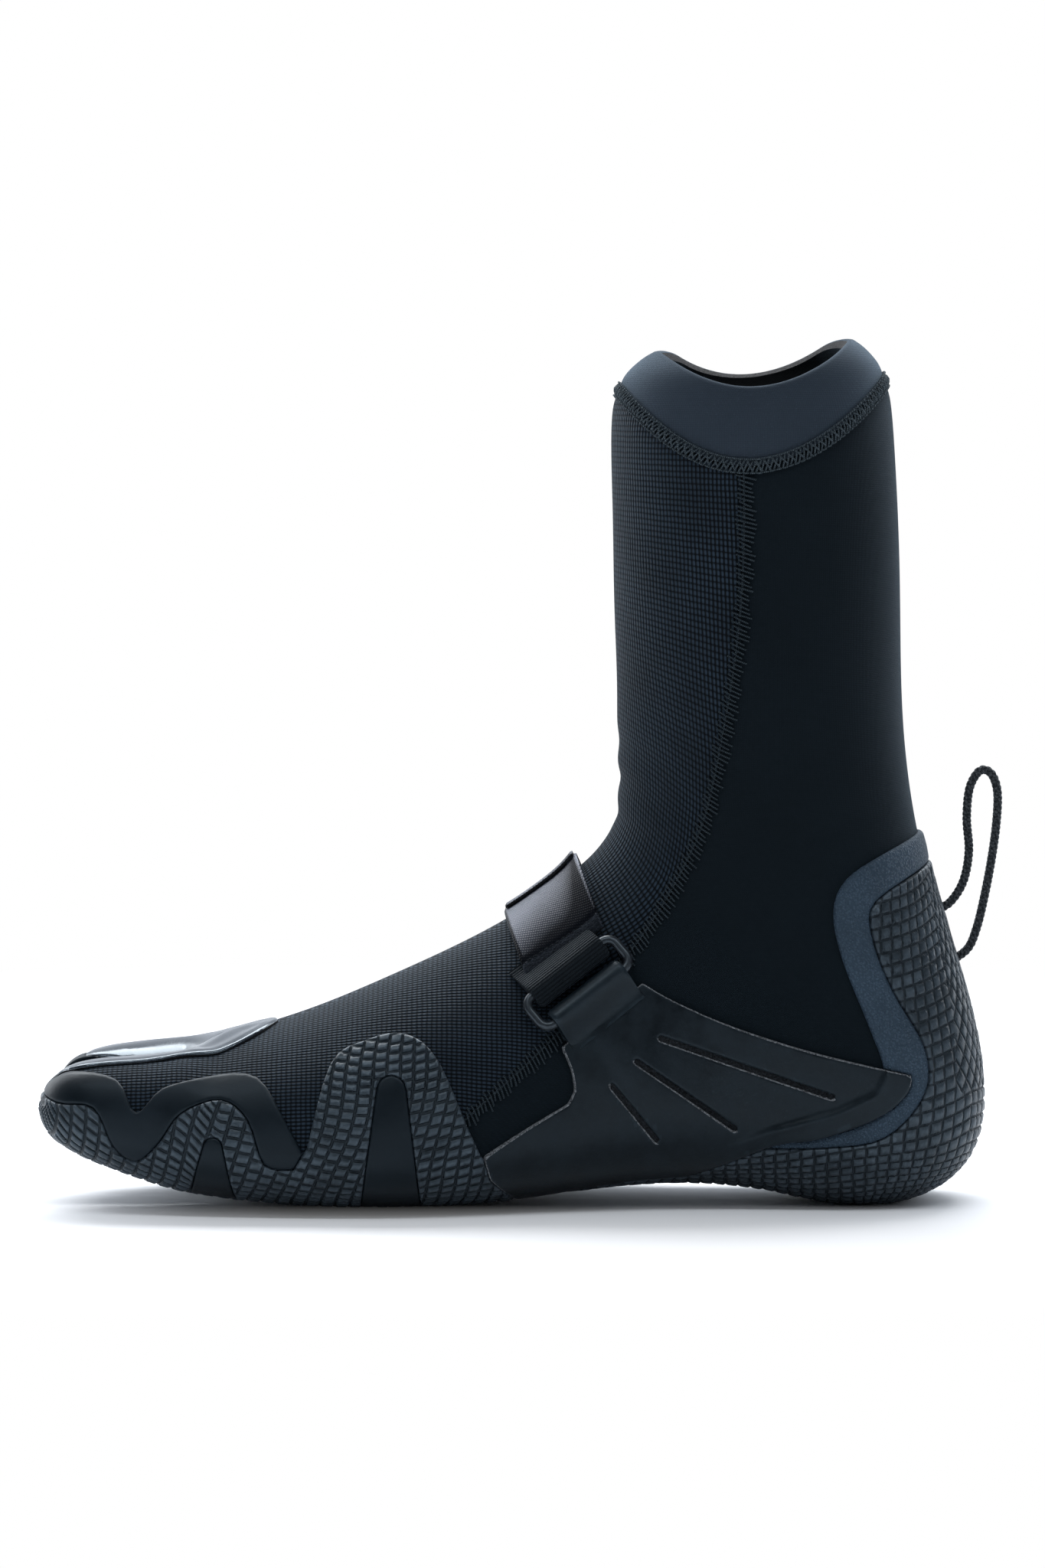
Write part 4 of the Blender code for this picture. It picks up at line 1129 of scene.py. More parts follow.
# ------------------------------------------------------------------ tiled relief
def tile(a, b, size_a, size_b, corner, groove):
    """Relief of a rounded tile in a lattice: near 0 on the tile, -1 in the groove."""
    cell_a, cell_b = np.floor(a), np.floor(b)
    part_a, part_b = a - cell_a - .5, b - cell_b - .5
    k = .9 + .15 * hashed(cell_a, cell_b)
    edge_a = (.5 - np.abs(part_a)) * size_a - groove * k
    edge_b = (.5 - np.abs(part_b)) * size_b - groove * k
    q = np.hypot(np.maximum(corner - edge_a, 0), np.maximum(corner - edge_b, 0))
    rise = eased(corner - q, 0, .55)
    level = .3 * (hashed(cell_a + 7, cell_b + 3) - .5) + .3 * part_b
    return -(1 - rise) + rise * (level - .12)


def forefoot_tiles(data, d):
    u, v = sole_uv(data).T
    shift_u = .9 * np.sin(v / 8.5 + .6) + .6 * np.sin(u / 13 + v / 6)
    shift_v = .8 * np.sin(u / 9.5) + .5 * np.sin(v / 5.3 + u / 21)
    a = (u + shift_u + FORE_SKEW * v) / FORE_TILE[0]
    row = np.floor(a)
    b = (v + shift_v) / FORE_TILE[1] + FORE_SHIFT * (row % 2) + FORE_CREEP * row
    return .62 * tile(a, b, *FORE_TILE, corner=.65, groove=.24)


def heel_uv(data):
    """Height, and distance round the heel from its back."""
    x, y, z = data[:, :3].T
    centre_x, radius = 17.0, 36.0
    r = np.where(x > centre_x, np.hypot(x - centre_x, y), np.abs(y))
    turn = np.where(x > centre_x, radius * np.arctan2(np.abs(y), x - centre_x),
                    radius * math.pi / 2 + centre_x - x)
    height = z - np.maximum(37 - r, 0) * eased(24 - z, 0, 14)
    return np.stack([height, np.sign(y) * turn], 1)


def heel_tiles(data, d):
    """Square tiles low down and in front, a lattice of upright diamonds behind."""
    (h, v), z = heel_uv(data).T, data[:, 2]
    lean = HEEL_LEAN * np.maximum(np.abs(v) - HEEL_LEAN_FROM, 0)
    a = (h + lean + .5 * np.sin(v / 8)) / HEEL_TILE
    b = (v + .5 * np.sin(h / 9)) / HEEL_TILE + HEEL_SHIFT * (np.floor(a) % 2)
    square = tile(a, b, HEEL_TILE, HEEL_TILE, corner=.7, groove=.22)
    p, q = h / DIAMOND_HIGH, v / DIAMOND_WIDE
    diamond = tile(p + q, p - q, DIAMOND_SIDE, DIAMOND_SIDE, corner=.5, groove=.22)
    reach = DIAMOND_REACH - DIAMOND_NARROW * (z - DIAMOND_FROM_Z)
    return .55 * np.where((z > DIAMOND_FROM_Z) & (np.abs(v) < reach), diamond, square)


def foot(obj):
    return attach(obj, "foot")


def ankle(obj):
    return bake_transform(obj)


def toes(obj):
    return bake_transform(obj)


def finish(obj, slot, *nodes):
    """Hides the CAD pieces this one stands for, if any; slot is not used."""
    if nodes:
        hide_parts(*nodes)


# ------------------------------------------------------------------ upper
def knit_uv(data):
    """u along the ribs, r across them: level ribs on the vamp, upright ones up the shin."""
    x, y, z = data[:, :3].T
    crest_run, crest_round = crest_uv(data).T
    vamp = data[:, COLUMN["strap_line"]] < 0
    level = z - .6 * (np.sqrt((y + 3) ** 2 + 64) - 8)
    return np.stack([np.where(vamp, 1.05 * x, crest_run), np.where(vamp, level, crest_round)], 1)


def leg_uv(data):
    return data[:, [2, COLUMN["crest_round"]]]


def cloth(name, limits, materials, puff, reach, uv, low=-NEOPRENE):
    """Neoprene, swelling a little (puff) within reach of its seams."""
    def swell(data, d):
        k = np.clip(d / reach, 0, 1)
        return puff * (k * (2 - k) - 1)
    return sheet(name, limits, low, 0, materials, radius=1.7, drop=1.3, height=swell, uv=uv)


collar = cloth("collar_band", [inside("rim"), outside("collar", CLOTH_GAP)],
               [COLLAR_CLOTH, LINING, FOAM], puff=.7, reach=9, uv=leg_uv)
finish(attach(collar, "leg"), "jersey", "collar_band")
shin = cloth("shin_knit", [inside("front", CLOTH_GAP), inside("collar", CLOTH_GAP),
                           outside("strap_line", .05, joint=True)],
             [KNIT, LINING, DARK_EDGE], puff=.8, reach=9, uv=knit_uv)
finish(ankle(shin), "grid_knit", "shin_panel", "vamp_panel")
calf = cloth("calf_and_quarter_jersey", [outside("front", CLOTH_GAP), inside("collar", CLOTH_GAP)],
             [JERSEY, LINING, DARK_EDGE], puff=.8, reach=9, uv=leg_uv)
finish(ankle(calf), "jersey", "calf_panel", "quarter_panel_inner", "quarter_panel_outer")
vamp = cloth("vamp_and_toe_knit", [inside("front", CLOTH_GAP),
                                   inside("strap_line", .05, joint=True)],
             [KNIT, LINING, DARK_EDGE], puff=.5, reach=7, uv=knit_uv, low=-NEOPRENE + 1.2)
finish(toes(vamp), "grid_knit", "toe_upper", "vamp_panel")

# ------------------------------------------------------------------ outsole and heel cup
forefoot = sheet("forefoot_outsole",
                 [inside("sole", TIGHT), outside("wing", TIGHT), outside("big_window", TIGHT),
                  outside("small_window", TIGHT), outside("split", TIGHT),
                  inside("arch", joint=True)],
                 LIFT, TOP, [FOREFOOT_TREAD] * 3, radius=1.15, drop=.95, detail=forefoot_tiles,
                 finer=True, uv=sole_uv, on_floor=True)
finish(toes(forefoot), "sole_rubber", "toe_outsole", "midfoot_outsole")
cup = sheet("heel_cup",
            [inside("sole", TIGHT), outside("wing", TIGHT), outside("arch", joint=True)],
            LIFT, TOP, [HEEL_TREAD] * 3, radius=1.15, drop=.95, detail=heel_tiles,
            finer=True, uv=heel_uv, on_floor=True)
finish(foot(cup), "sole_rubber", "heel_cup")


# ------------------------------------------------------------------ smooth inserts and patches
def insert(name, window_field, half):
    return sheet(name, [inside(window_field, TIGHT), half], LIFT, TOP, [PATCH_RUBBER] * 3,
                 radius=.8, drop=.6, height=lambda data, d: .25 * np.clip(d / 4, 0, 1) - .3,
                 uv=sole_uv, on_floor=True)


for name, half in HALVES.items():
    piece = "side_insert_" + name
    finish(foot(insert(piece, "big_window", half)), "smooth_rubber", piece)
    piece = "toe_insert_" + name
    finish(toes(insert(piece, "small_window", half)), "smooth_rubber", piece)
for name, half in (("inner", inside("y", 14)), ("outer", outside("y", 6))):
    piece = "toe_patch_" + name
    patch = sheet(piece, [inside("toe_band", TIGHT), outside("sole", TIGHT), half],
                  LIFT, LIFT + 1.5, [PATCH_RUBBER] * 3, radius=1.0, drop=.8)
    finish(toes(patch), "smooth_rubber", piece)


def strip_crease(data, d):
    """A crease across the strip beside the split's root, with soft waves round it."""
    x, y = data[:, :2].T
    fold = capsule(x, y, (-183, -22), (-172, -12), 0)
    return (.3 * np.clip(d / 3, 0, 1) - .4 * np.exp(-(fold / 3.4) ** 2)
            + .12 * np.exp(-((fold - 6) / 2.5) ** 2) + .22 * np.sin(x / 6 + y / 7)
            * bell(x, -185, 26))


strip = sheet("toe_split_strip",
              [inside("split_patch"), outside("toe_band", TIGHT), outside("split_walls")],
              LIFT, LIFT + 1.2, [STRIP_RUBBER, STRIP_RUBBER, DARK_EDGE], height=strip_crease,
              radius=.9, drop=.75, finer=True)
finish(toes(strip), "smooth_rubber", "toe_split_strip")

counter = sheet("heel_counter",
                [inside("counter", TIGHT), outside("sole", TIGHT), outside("wing", TIGHT)],
                LIFT, LIFT + COUNTER, [SLATE] * 3, radius=1.5, drop=1.1,
                height=lambda data, d: -.25 + .25 * np.clip(d / 4, 0, 1))
finish(ankle(counter), "slate_rubber", "heel_counter")


# ------------------------------------------------------------------ wings
def wing_relief(data, d):
    """A step where the heel cup's edge lies beneath, dents below the roll, slow waves."""
    x, z = data[:, 0], data[:, 2]
    near, side = np.full(x.shape, 1e9), np.zeros(x.shape)
    for a, b in zip(RIDGE, RIDGE[1:]):
        away = capsule(x, z, a, b, 0)
        side = np.where(away < near, np.sign(turn_from(x, z, a, b)), side)
        near = np.minimum(near, away)
    far = near * side
    h = bell(x, 4, 27) * (.85 * eased(far, -1.0, 1.0) * np.exp(-np.maximum(far, 0) / 8)
                          + .2 * np.exp(-((far - 1.1) / .8) ** 2))
    slope = x * .77 + z * .64
    h += -.5 * bell(slope, -18.5, 3.2) * bell(x, -64, 12)
    h += .32 * np.sin(x / 8 + z / 13) * np.sin(z / 9 - x / 29) * bell(x, -45, 45)
    h += -.4 * bell(slope, -4, 3.0) * bell(x, -56, 10)
    return h


def wing_highlit_edges(data):
    """The upper and front edges and the lower edge of each slot, all facing up: the pale edge put
    there is partly the cut edge's own colour, partly a painted highlight.
    """
    x, z = data[:, 0], data[:, 2]
    out = ((z > 38.5) & (x > -69)) | ((x < -67) & (z > 3.5) & (z < 37.5) & (x < -66 - .9 * (20 - z)))
    out |= (x < -66) & (z > 33)
    for a, b in SLOTS:
        near = capsule(x, z, a, b, SLOT_RADIUS) < 1.2
        out = np.where(near, turn_from(x, z, a, b) < 0, out)
    return out


def torn(data, d):
    """Uneven fibres, random per cell of about 0.6 mm."""
    return .35 * (hashed(np.round(data[:, 0] * 1.7), np.round(data[:, 2] * 1.7)) - .6)


for name, half in HALVES.items():
    wing = sheet("wing_" + name, [inside("wing", TIGHT), half, outside("slots")],
                 LIFT, TOP, [WING_RUBBER, WING_RUBBER, PALE_EDGE_AND_HIGHLIGHT], height=wing_relief,
                 radius=.9, drop=.5, finer=True, cut=wing_highlit_edges)
    finish(foot(wing), "smooth_rubber", "wing_" + name)
for name, half in HALVES.items():
    backing = sheet("wing_backing_" + name, [inside("slots", -1.1), half], .05, 1.35, [FUZZ] * 3,
                    radius=.4, drop=.2, finer=True, height=torn)
    finish(foot(backing), "jersey")


# ------------------------------------------------------------------ seams
def isoline(name, limits=()):
    """Curves on the skin along field = 0, as rows of skin data, longest first."""
    f = BASE[:, COLUMN[name]]
    s = f < 0
    hit = SKIN_FACES[(s[SKIN_FACES].sum(1) % 3) != 0]
    key_of, rows, links = {}, [], {}

    def point(a, b):
        k = (a, b) if a < b else (b, a)
        if k not in key_of:
            t = f[k[0]] / (f[k[0]] - f[k[1]])
            key_of[k] = len(rows)
            rows.append(BASE[k[0]] * (1 - t) + BASE[k[1]] * t)
        return key_of[k]
    for tri in hit.tolist():
        a, b = [point(tri[i], tri[(i + 1) % 3]) for i in range(3)
                if s[tri[i]] != s[tri[(i + 1) % 3]]]
        links.setdefault(a, []).append(b)
        links.setdefault(b, []).append(a)
    rows = np.array(rows)
    ok = np.ones(len(rows), bool)
    for limit in limits:
        ok &= beyond(rows, limit) < 0
    good = {i: [j for j in links.get(i, []) if ok[j]] for i in range(len(rows)) if ok[i]}
    seen, out = set(), []
    for i in sorted(good, key=lambda i: len(good[i])):
        if i in seen:
            continue
        chain, at = [i], i
        seen.add(i)
        while True:
            ahead = [j for j in good[at] if j not in seen]
            if not ahead:
                break
            at = ahead[0]
            seen.add(at)
            chain.append(at)
        if len(chain) > 4:
            closed = chain[0] in good[chain[-1]] and len(chain) > 10
            out.append(rows[chain + ([chain[0]] if closed else [])])
    out.sort(key=lambda curve: -len(curve))
    return out


def resample(rows, step):
    """Even steps along a curve of skin rows: position, direction, sideways."""
    run = path_run(rows[:, :3])
    count = max(int(run[-1] / step), 3)
    at = np.linspace(0, run[-1], count + 1)
    q = np.stack([np.interp(at, run, rows[:, k]) for k in range(6)], 1)
    pos, normal = q[:, :3], unit_rows(q[:, 3:6])
    for _ in range(6):
        pos[1:-1] = (pos[:-2] + 2 * pos[1:-1] + pos[2:]) / 4
    t = unit_rows(np.gradient(pos, axis=0))
    return pos, t, np.cross(normal, t)


def stitch_path(a, b, low, high):
    """A thread from a to b over the skin: low at its ends, high in its middle."""
    path = []
    for k in range(5):
        t = k / 4
        hit, _, index, _ = TREE.find_nearest(Vector(a * (1 - t) + b * t))
        normal = unit(SKIN_NORMALS[SKIN_FACES[index]].mean(0))
        path.append(np.array(hit) + normal * (low + (high - low) * math.sin(math.pi * t)))
    return path


def stitches(rows, step, reach, slant, high, uneven):
    """Stitches across a seam: reach is how far they go to each side."""
    out = []
    for i, (pos, t, side) in enumerate(zip(*resample(rows, step))):
        r = 1 + uneven * (hashed(i, 4.0) - .5)
        s = slant * (1 + .5 * uneven * (hashed(i, 9.0) - .5))
        out.append(stitch_path(pos + side * reach[0] * r - t * s / 2,
                               pos + side * reach[1] * r + t * s / 2, -.1, high))
    return out


def running_stitches(rows, offset, step, length, high):
    """A row of stitches along a seam, beside it by offset."""
    return [stitch_path(pos + side * offset - t * length / 2,
                        pos + side * offset + t * length / 2, -.12, high)
            for pos, t, side in zip(*resample(rows, step))]


THIN = 1        # stitch spacing is multiplied by this
STITCH_RADIUS, STITCH_SIDES = .27, 6


def collar_flatlock():
    line = isoline("collar")[0]
    paths = stitches(line, 1.3 * THIN, (-1.9, 1.9), slant=1.9, high=.75, uneven=.25)
    paths += stitches(line, 2.6 * THIN, (-1.8, 1.8), slant=-1.9, high=.95, uneven=.3)
    for offset in (-2.1, 2.1):
        paths += running_stitches(line, offset, 1.9 * THIN, length=1.5, high=.55)
    return bars("collar_flatlock", paths, STITCH_RADIUS, STITCH_SIDES, THREAD)


def overlock(name, line):
    paths = stitches(line, 1.35 * THIN, (-2.9, 2.1), slant=1.6, high=.62, uneven=.7)
    paths += running_stitches(line, .1, 2.3 * THIN, length=1.7, high=.4)
    return bars(name, paths, STITCH_RADIUS, STITCH_SIDES, SEAM_THREAD)


finish(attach(collar_flatlock(), "leg"), "thread", "collar_seam")
upper_lines = isoline("front", [outside("instep_low"), inside("collar", 2.8)])
lower_lines = isoline("front", [inside("instep_low"), outside("sole", 1.0),
                                outside("wing", 1.0)])
for name, sign in SIDE.items():
    upper, lower = [[rows for rows in lines if rows[:, 1].mean() * sign > 0]
                    for lines in (upper_lines, lower_lines)]
    finish(ankle(overlock("side_overlock_" + name, upper[0])), "thread",
           "leg_seam_" + name, "instep_seam_" + name)
    if lower:
        finish(foot(overlock("quarter_overlock_" + name, lower[0])), "thread",
               "quarter_seam_" + name)

# ------------------------------------------------------------------ strap and ring geometry
UP = np.array((STRAP_UP[0], 0, STRAP_UP[1]))
ACROSS = np.array((STRAP_ACROSS[0], 0, STRAP_ACROSS[1]))


def off_foot(angle):
    """Direction away from the foot at this many degrees from the crest, outer side positive."""
    a = math.radians(angle)
    return UP * math.cos(a) + np.array((0, math.sin(a), 0))


def over_foot(angle, along):
    """The skin's point at this angle round the instep and place along the strap's width."""
    way = off_foot(angle)
    base = np.array((STRAP_CENTRE[0], -.5, STRAP_CENTRE[1])) + ACROSS * along
    return np.array(TREE.ray_cast(Vector(base + way * 130), Vector(-way))[0])


def strap_layer(name, start, end, width, high, thickness, materials, relief, flare, bands=0.0):
    """A closed band round the instep between two angles, rounded at its rim.

    relief(distance along, distance across) raises its face, flare lifts its rear edge.
    Within bands of each end the face takes the second material."""
    cell, round_over = .7, .8
    length = abs(end - start) * math.pi / 180 * ARC_RADIUS
    columns, rows = int(width / cell) + 1, int(length / cell) + 1
    uv = np.zeros((rows, columns, 2))
    top, out = np.zeros((rows, columns, 3)), np.zeros((rows, columns, 3))
    for i in range(rows):
        for j in range(columns):
            a, b = i / (rows - 1), j / (columns - 1)
            s, w = uv[i, j] = a * length, (b - .5) * width
            angle = start + (end - start) * a
            lift = high + relief(s, w) + flare * max(0, 2 * (b - .5)) ** 3
            out[i, j] = off_foot(angle)
            top[i, j] = over_foot(angle, w) + out[i, j] * lift
    e = np.minimum.reduce([uv[..., 0] - uv[..., 0].min(), uv[..., 0].max() - uv[..., 0],
                           uv[..., 1] - uv[..., 1].min(), uv[..., 1].max() - uv[..., 1]])
    k = 1 - np.clip(e / round_over, 0, 1)
    top = top - out * (thickness * .42 * (1 - np.sqrt(np.clip(1 - k * k, 0, 1))))[..., None]
    base = top - out * (thickness * (1 - .5 * k * k))[..., None]
    n = rows * columns
    idx = np.arange(n).reshape(rows, columns)
    face = np.stack([idx[:-1, :-1], idx[:-1, 1:], idx[1:, 1:], idx[1:, :-1]], -1).reshape(-1, 4)
    loop = np.concatenate([idx[0, :], idx[1:, -1], idx[-1, -2::-1], idx[-2:0:-1, 0]])
    ahead = np.roll(loop, -1)
    rim = np.stack([ahead, loop, loop + n, ahead + n], 1)
    faces = np.vstack([face, face[:, ::-1] + n, rim])
    points = np.vstack([top.reshape(-1, 3), base.reshape(-1, 3)])
    p = points[np.vstack([faces[:, [0, 1, 2]], faces[:, [0, 2, 3]]])]
    if np.einsum("ij,ij->i", p[:, 0], np.cross(p[:, 1], p[:, 2])).sum() < 0:
        faces = faces[:, ::-1]
    which = np.repeat([0, 1, 2], [len(face), len(face), len(rim)])
    place = np.repeat((np.arange(rows - 1) + .5) / (rows - 1) * length, columns - 1)
    which[:len(face)][(place < bands) | (place > length - bands)] = 1
    return mesh_object(name, points, faces, materials, which,
                       np.vstack([uv.reshape(-1, 2)] * 2), sharp=70)


def ring_place(name):
    """A ring's low and high bar centres, and its axes along the bars, up and outward."""
    side = SIDE[name]
    angle = side * RING_ANGLE
    along = unit(over_foot(angle, 9) - over_foot(angle, -9))
    up = over_foot(angle - side * 9, 0) - over_foot(angle + side * 9, 0)
    up = up - along * (up @ along)
    if up[2] < 0:
        up = -up
    # Set on the joint's own place and axis.
    joint = name + "_ring_rock"
    axis = unit(np.array(JOINT[joint]["axis"], float))
    along = axis * np.sign(axis @ along)
    up = unit(up - along * (up @ along))
    out = np.cross(along, up)
    if out[1] * side < 0:
        out = -out
    low = joint_place(joint)
    return low, low + up * 2 * (RING_SHORT / 2 - RING_BAR), along, up, out


def ring_path(low, high, along, up):
    """The bar's centre line: a rectangle with rounded corners."""
    centre = (low + high) / 2
    a, b, r = RING_LONG / 2 - RING_BAR, RING_SHORT / 2 - RING_BAR, 3.4
    path = []
    for cx, cy, first in ((a - r, b - r, 0), (-a + r, b - r, 90), (-a + r, -b + r, 180),
                          (a - r, -b + r, 270)):
        for k in range(10):
            w = math.radians(first + 10 * k)
            path.append(centre + along * (cx + r * math.cos(w)) + up * (cy + r * math.sin(w)))
    return path


def roll(name, bar, axes, way, reach, thick, width, material, rest_high, sag=0.0, lead=1.0):
    """Cloth or sheet turned round a bar, running to the foot on the side `way` points to."""
    along, up, out = axes
    R = RING_BAR + .12 + thick
    rows = []
    steps = max(int(width / .6), 8)
    for i in range(steps + 1):
        base = bar + along * ((i / steps - .5) * width)
        edge = min(i, steps - i) * width / steps
        r = R * (1 - .16 * max(0, 1 - edge / 1.2) ** 2)
        far = base + up * way * reach
        hit = TREE.ray_cast(Vector(far + out * 40), Vector(-out))[0]
        ground = (np.array(hit) - far) @ out
        profile = []
        for k in range(11):                     # round the bar, from under it to its top
            a = math.radians(-80 + 170 * k / 10)
            profile.append((-way * r * lead * math.cos(a), r * math.sin(a)))
        for k in range(1, 9):                   # down to the sheet it belongs to
            t = k / 8
            s = t * t * (3 - 2 * t)
            profile.append((way * reach * t, r * (1 - s) + (ground + rest_high) * s
                            - sag * math.sin(math.pi * t)))
        profile.append((way * reach, ground + .3))
        profile.append((way * reach * .45, (ground + .3) * .6 - R * .3))
        rows.append([base + up * a + out * b for a, b in profile])
    n = len(rows[0])
    points = np.array(rows).reshape(-1, 3)
    faces = []
    for i in range(steps):
        for k in range(n):
            j = (k + 1) % n
            faces.append((i * n + k, i * n + j, (i + 1) * n + j, (i + 1) * n + k))
    points = np.vstack([points, points[:n].mean(0), points[-n:].mean(0)])
    last = steps * n
    for k in range(n):                          # the end caps
        j = (k + 1) % n
        faces.append((j, k, len(points) - 2))
        faces.append((last + k, last + j, len(points) - 1))
    volume = sum(points[f[0]] @ np.cross(points[f[i]], points[f[i + 1]]) for f in faces
                 for i in range(1, len(f) - 1))
    if volume < 0:
        faces = [f[::-1] for f in faces]
    uv = [(i / steps * width, a) for i in range(steps + 1) for a in path_run(rows[0])]
    uv += [(0, 0), (width, 0)]
    return mesh_object(name, points, faces, [material], uv=np.array(uv), sharp=48)


def blend_to_ring(obj):
    """Bakes the object's transform into its mesh."""
    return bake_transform(obj)


# ------------------------------------------------------------------ rings and their holders
RINGS = {name: ring_place(name) for name in SIDE}
for name, (low, high, along, up, out) in RINGS.items():
    ring = bars("ring_" + name, [ring_path(low, high, along, up)], RING_BAR, 16, PLASTIC,
                closed=True)
    finish(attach(ring, name + "_ring"), "black_plastic", "ring_" + name)
    keeper = roll("wing_roll_" + name, low, (along, up, out), way=-1, reach=10.2, thick=2.1,
                  width=ROLL_WIDTH, material=WING_RUBBER, rest_high=TOP + .1, sag=.7, lead=1.12)
    finish(foot(keeper), "smooth_rubber", "ring_keeper_" + name)
_, bar, *axes = RINGS["inner"]
holder = roll("ring_webbing_inner", bar, axes, way=1, reach=11.5, thick=1.5, width=ROLL_WIDTH,
              material=WEBBING, rest_high=1.1, sag=-.2, lead=1.6)
finish(blend_to_ring(holder), "webbing", "ring_webbing_inner")

# ------------------------------------------------------------------ strap
STRAP_HIGH = 3.0        # the strap's face over the skin
STRAP_LENGTH = 2 * STRAP_END * math.pi / 180 * ARC_RADIUS
TAB_PRESS = 49.32738    # pressed line, along the tab from its start


def strap_relief(s, w):
    """Flat middle, a pressed channel between the two stitch rows at each end, soft waves."""
    h = .10 * math.sin(s / 6.5 + w / 9) + .08 * math.sin(w / 4.0 + s / 17)
    for inset, depth, width in ((7.4, .30, 1.0), (1.6, .26, .9)):
        for at in (STRAP_LENGTH - inset, inset):
            h -= depth * math.exp(-((s - at) / width) ** 2)
    return h


def pile_relief(s, w):
    return .12 * (hashed(round(s / .9), round(w / .9)) - .5)


def tab_relief(s, w):
    return .12 * math.sin(s / 7 + w / 8) - .22 * math.exp(-((s - TAB_PRESS) / .8) ** 2)


def strap_stitch_row(angle, high):
    """A row of stitches across the strap."""
    step, length, lift = 2.1, 1.5, .3
    out = []
    count = int((STRAP_WIDTH - 2.5) / step)
    for k in range(count):
        w = (k + .5 - count / 2) * step
        out.append([over_foot(angle, w + (t - .5) * length)
                    + off_foot(angle) * (high - .18 + lift * math.sin(math.pi * t))
                    for t in (0, .25, .5, .75, 1)])
    return out


strap = strap_layer("instep_strap", -STRAP_END, STRAP_END, STRAP_WIDTH, high=STRAP_HIGH,
                    thickness=1.6, materials=[TWILL, PILE, DARK_EDGE], relief=strap_relief,
                    flare=1.6, bands=7.2)
finish(foot(strap), "webbing", "strap")
patch = strap_layer("pile_patch", 50, 0, STRAP_WIDTH - 5, high=3.38, thickness=.5,
                    materials=[PILE, TWILL, PILE], relief=pile_relief, flare=1.0)
finish(foot(patch), "webbing", "strap_pile_patch")
tab = strap_layer("strap_tab", 57.6, -4.5, STRAP_WIDTH - 2, high=4.35, thickness=.95,
                  materials=[TWILL, PILE, DARK_EDGE], relief=tab_relief, flare=1.4)
finish(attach(tab, "tab"), "webbing", "strap_tab")
_, bar, *axes = RINGS["outer"]
turn = roll("strap_turn_outer", bar, axes, way=1, reach=8.5, thick=1.3, width=26,
            material=TWILL, rest_high=1.9)
finish(blend_to_ring(turn), "webbing", "ring_webbing_outer")

paths = []
for sign in (-1, 1):
    paths += strap_stitch_row(sign * (STRAP_END - 1.9), STRAP_HIGH - .2)
    paths += strap_stitch_row(sign * (STRAP_END - 8.8), STRAP_HIGH - .25)
finish(foot(bars("strap_stitches", paths, .26, 6, STRAP_THREAD)), "thread")

# ------------------------------------------------------------------ pull loop behind the heel
# The cord's centre line in the plane y = 0, x and z.
LOOP = through([(41.0, 89.5), (46.0, 92.0), (50.2, 98.6), (51.9, 108), (51.2, 118), (51.9, 127),
                (54.2, 132), (56.6, 133.3), (59.2, 131.4), (60.7, 126), (60.4, 117), (59, 106),
                (56.8, 94), (54.4, 84), (51.6, 77.6), (46.0, 73.5)], steps=12)


def pull_loop():
    """A flat braid of three strands."""
    braid_pitch, strand_radius, half_flat, half_wide = 4.6, .76, .66, .7 * .9
    line = np.stack([LOOP[:, 0], np.zeros(len(LOOP)), LOOP[:, 1]], 1)
    run = path_run(line)
    at = np.arange(0, run[-1], .28)
    line = np.stack([np.interp(at, run, line[:, k]) for k in range(3)], 1)
    flat = np.cross(unit_rows(np.gradient(line, axis=0)), (0, 1, 0))
    strands = []
    for k in range(3):
        w = 2 * math.pi * (at / braid_pitch + k / 3)
        strands.append(line + flat * (half_flat * np.sin(w))[:, None]
                       + np.array((0, 1, 0)) * (half_wide * np.sin(2 * w))[:, None])
    return bars("pull_loop", strands, strand_radius, 8, CORD_LOOK)


finish(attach(pull_loop(), "loop"), "webbing", "pull_loop")


# ------------------------------------------------------------------ floor
def pale_floor():
    """Pale ground that fades to plain white away from the boot and towards the camera."""
    L = Look("pale_floor", Roughness=.6, Specular_IOR_Level=.2)
    mottled = L.noise(L.place(), scale=3, detail=2)
    L.put(Base_Color=mottled.mix((.86, .88, .91), (.85, .87, .9)))
    reach = L.value("VectorMath", {0: L.place(), 1: to_metres(-86, 0, 0)}, "Value",
                    operation="DISTANCE")
    nearer = L.split(L.place())[1] * -1.0
    fade = reach.span(.20, .75).maximum(nearer.span(.02, .24)) * L.camera_ray()
    glow = L.value("Emission", {"Color": (1, 1, 1, 1), "Strength": 1.0})
    both = L.value("MixShader", {0: fade, 1: Value(L, L.bsdf.outputs[0]), 2: glow})
    L.feed(L.tree.nodes["Material Output"].inputs[0], both)
    return L.material


scene = bpy.context.scene
floor_mesh = bpy.data.meshes.new("floor")
floor_mesh.from_pydata([(-30, -30, 0), (30, -30, 0), (30, 30, 0), (-30, 30, 0)], [],
                       [(0, 1, 2, 3)])
floor_mesh.materials.append(pale_floor())
floor = bpy.data.objects.new("floor", floor_mesh)
floor.location = (0, 0, -.0004)
scene.collection.objects.link(floor)

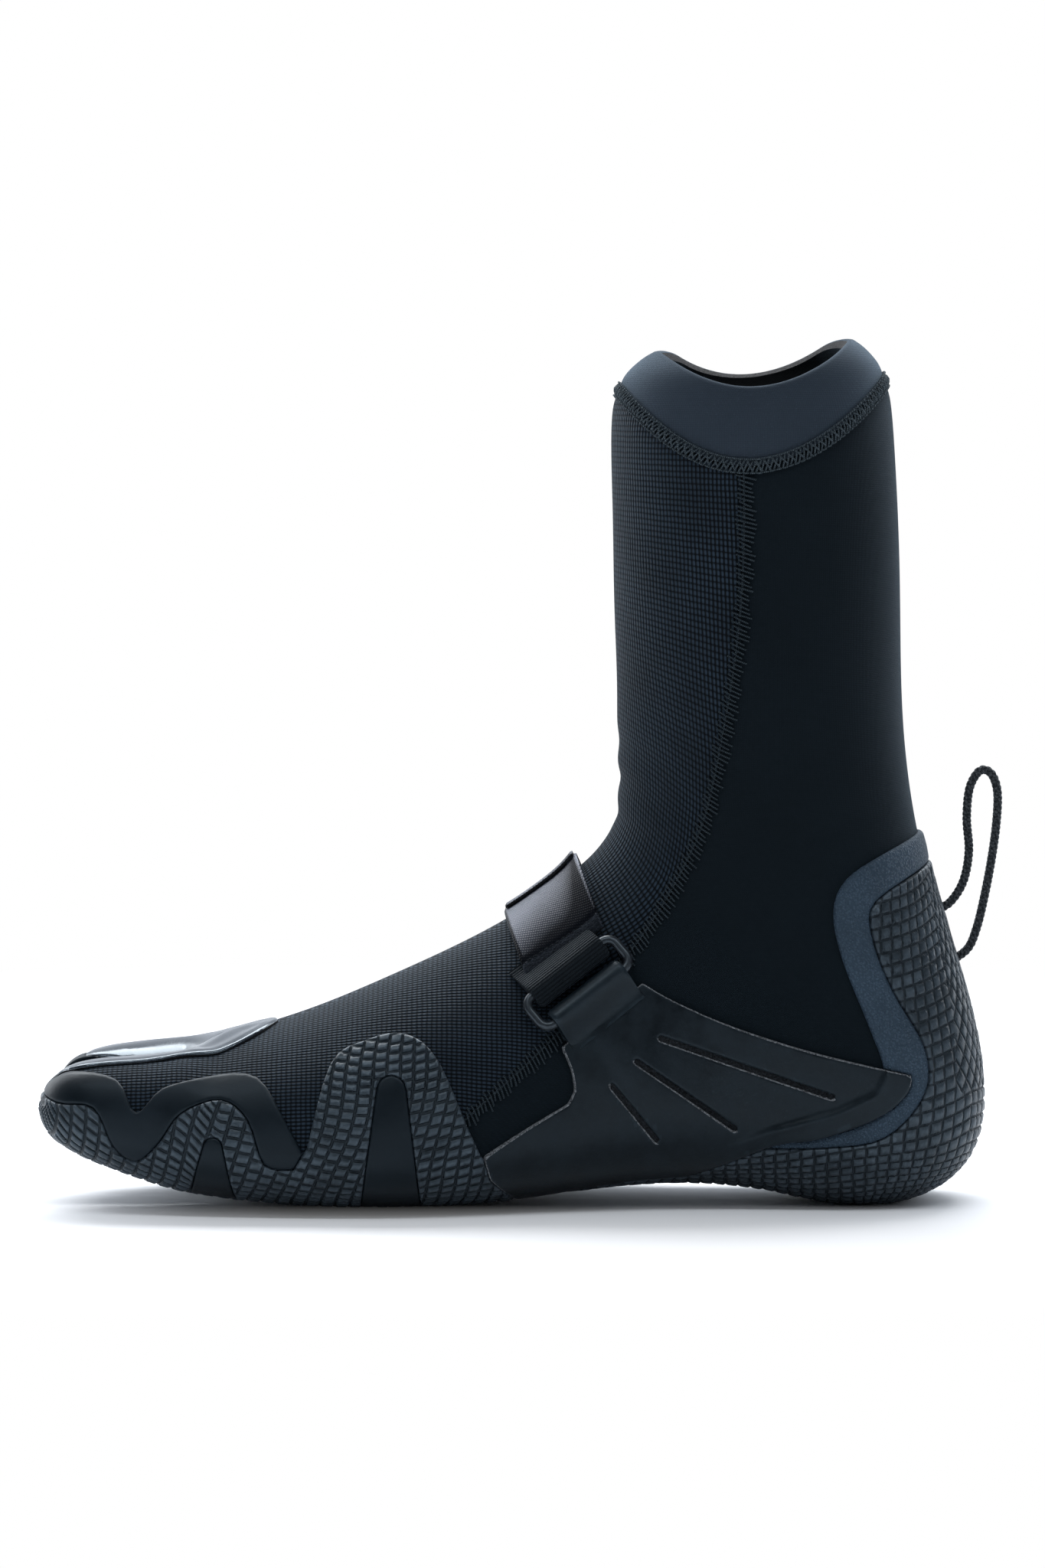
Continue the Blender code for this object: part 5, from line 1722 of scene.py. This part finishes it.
# ------------------------------------------------------------------ camera
SENSOR = 24
DISTANCE, VIEW_HIGH = 2.0, .481         # metres: to the aim, and the height seen there
ELEVATION, YAW = math.radians(4.0), math.radians(.2)
camera_data = bpy.data.cameras.new("camera")
camera = bpy.data.objects.new("camera", camera_data)
scene.collection.objects.link(camera)
scene.camera = camera
camera_data.sensor_fit = "VERTICAL"
camera_data.sensor_height = SENSOR
camera_data.lens = SENSOR * DISTANCE / VIEW_HIGH
aim = Vector(to_metres(-86.6, -20, 130.3))
camera.location = aim + DISTANCE * Vector((-math.sin(YAW) * math.cos(ELEVATION),
                                           -math.cos(YAW) * math.cos(ELEVATION),
                                           math.sin(ELEVATION)))
camera.rotation_euler = (math.pi / 2 - ELEVATION, 0, -YAW)

# ------------------------------------------------------------------ lights
# Name; place and aim in metres; size in metres; power in watts; colour.
SOFTBOXES = [
    ("top_box", (-.1, .6, 1.1), (-.1, 0, .1), (1.5, .6), 24, (1, 1, 1)),
    ("back_left", (-1.1, .9, .7), (-.1, 0, .1), (.8, 1.2), 9, (.97, .98, 1)),
    ("back_right", (1.0, .8, .7), (-.05, 0, .12), (.8, 1.2), 6, (.97, .98, 1)),
    ("high_strip", (-.15, -.55, 1.05), (-.1, 0, .1), (1.5, .16), 5.5, (.94, .97, 1)),
    ("front_key", (-.7, -1.5, 1.35), (-.1, 0, .08), (.9, .5), 2, (1, 1, 1)),
    ("front_fill", (.9, -1.6, .5), (-.08, 0, .1), (.8, .8), 1.6, (.9, .95, 1)),
]
for name, place, look_at, size, power, colour in SOFTBOXES:
    light = bpy.data.lights.new(name, "AREA")
    light.shape = "RECTANGLE"
    light.size, light.size_y = size
    light.energy = power
    light.color = colour
    box = bpy.data.objects.new(name, light)
    scene.collection.objects.link(box)
    box.location = place
    box.rotation_euler = (Vector(look_at) - Vector(place)).to_track_quat("-Z", "Y").to_euler()
    box.visible_camera = False


# ------------------------------------------------------------------ world
def studio():
    """White to the camera; lights the boot softly from +y and from above."""
    world = bpy.data.worlds.new("studio")
    scene.world = world
    world.use_nodes = True
    world.node_tree.nodes.clear()
    N = Nodes(world.node_tree)
    _, y, z = N.split(N.value("TexCoord", output="Generated"))
    strength = y.span(-.15, .75, to=(.06, 1.15)).maximum(z.span(.1, 1.0, to=(0.0, .5)))
    glow = N.value("Background", {0: (.75, .81, .89, 1), 1: strength})
    seen = N.value("Background", {0: (1, 1, 1, 1), 1: 1.0})
    N.node("OutputWorld", {0: N.value("MixShader", {0: N.camera_ray(), 1: glow, 2: seen})})


studio()
scene.view_settings.view_transform = "Standard"
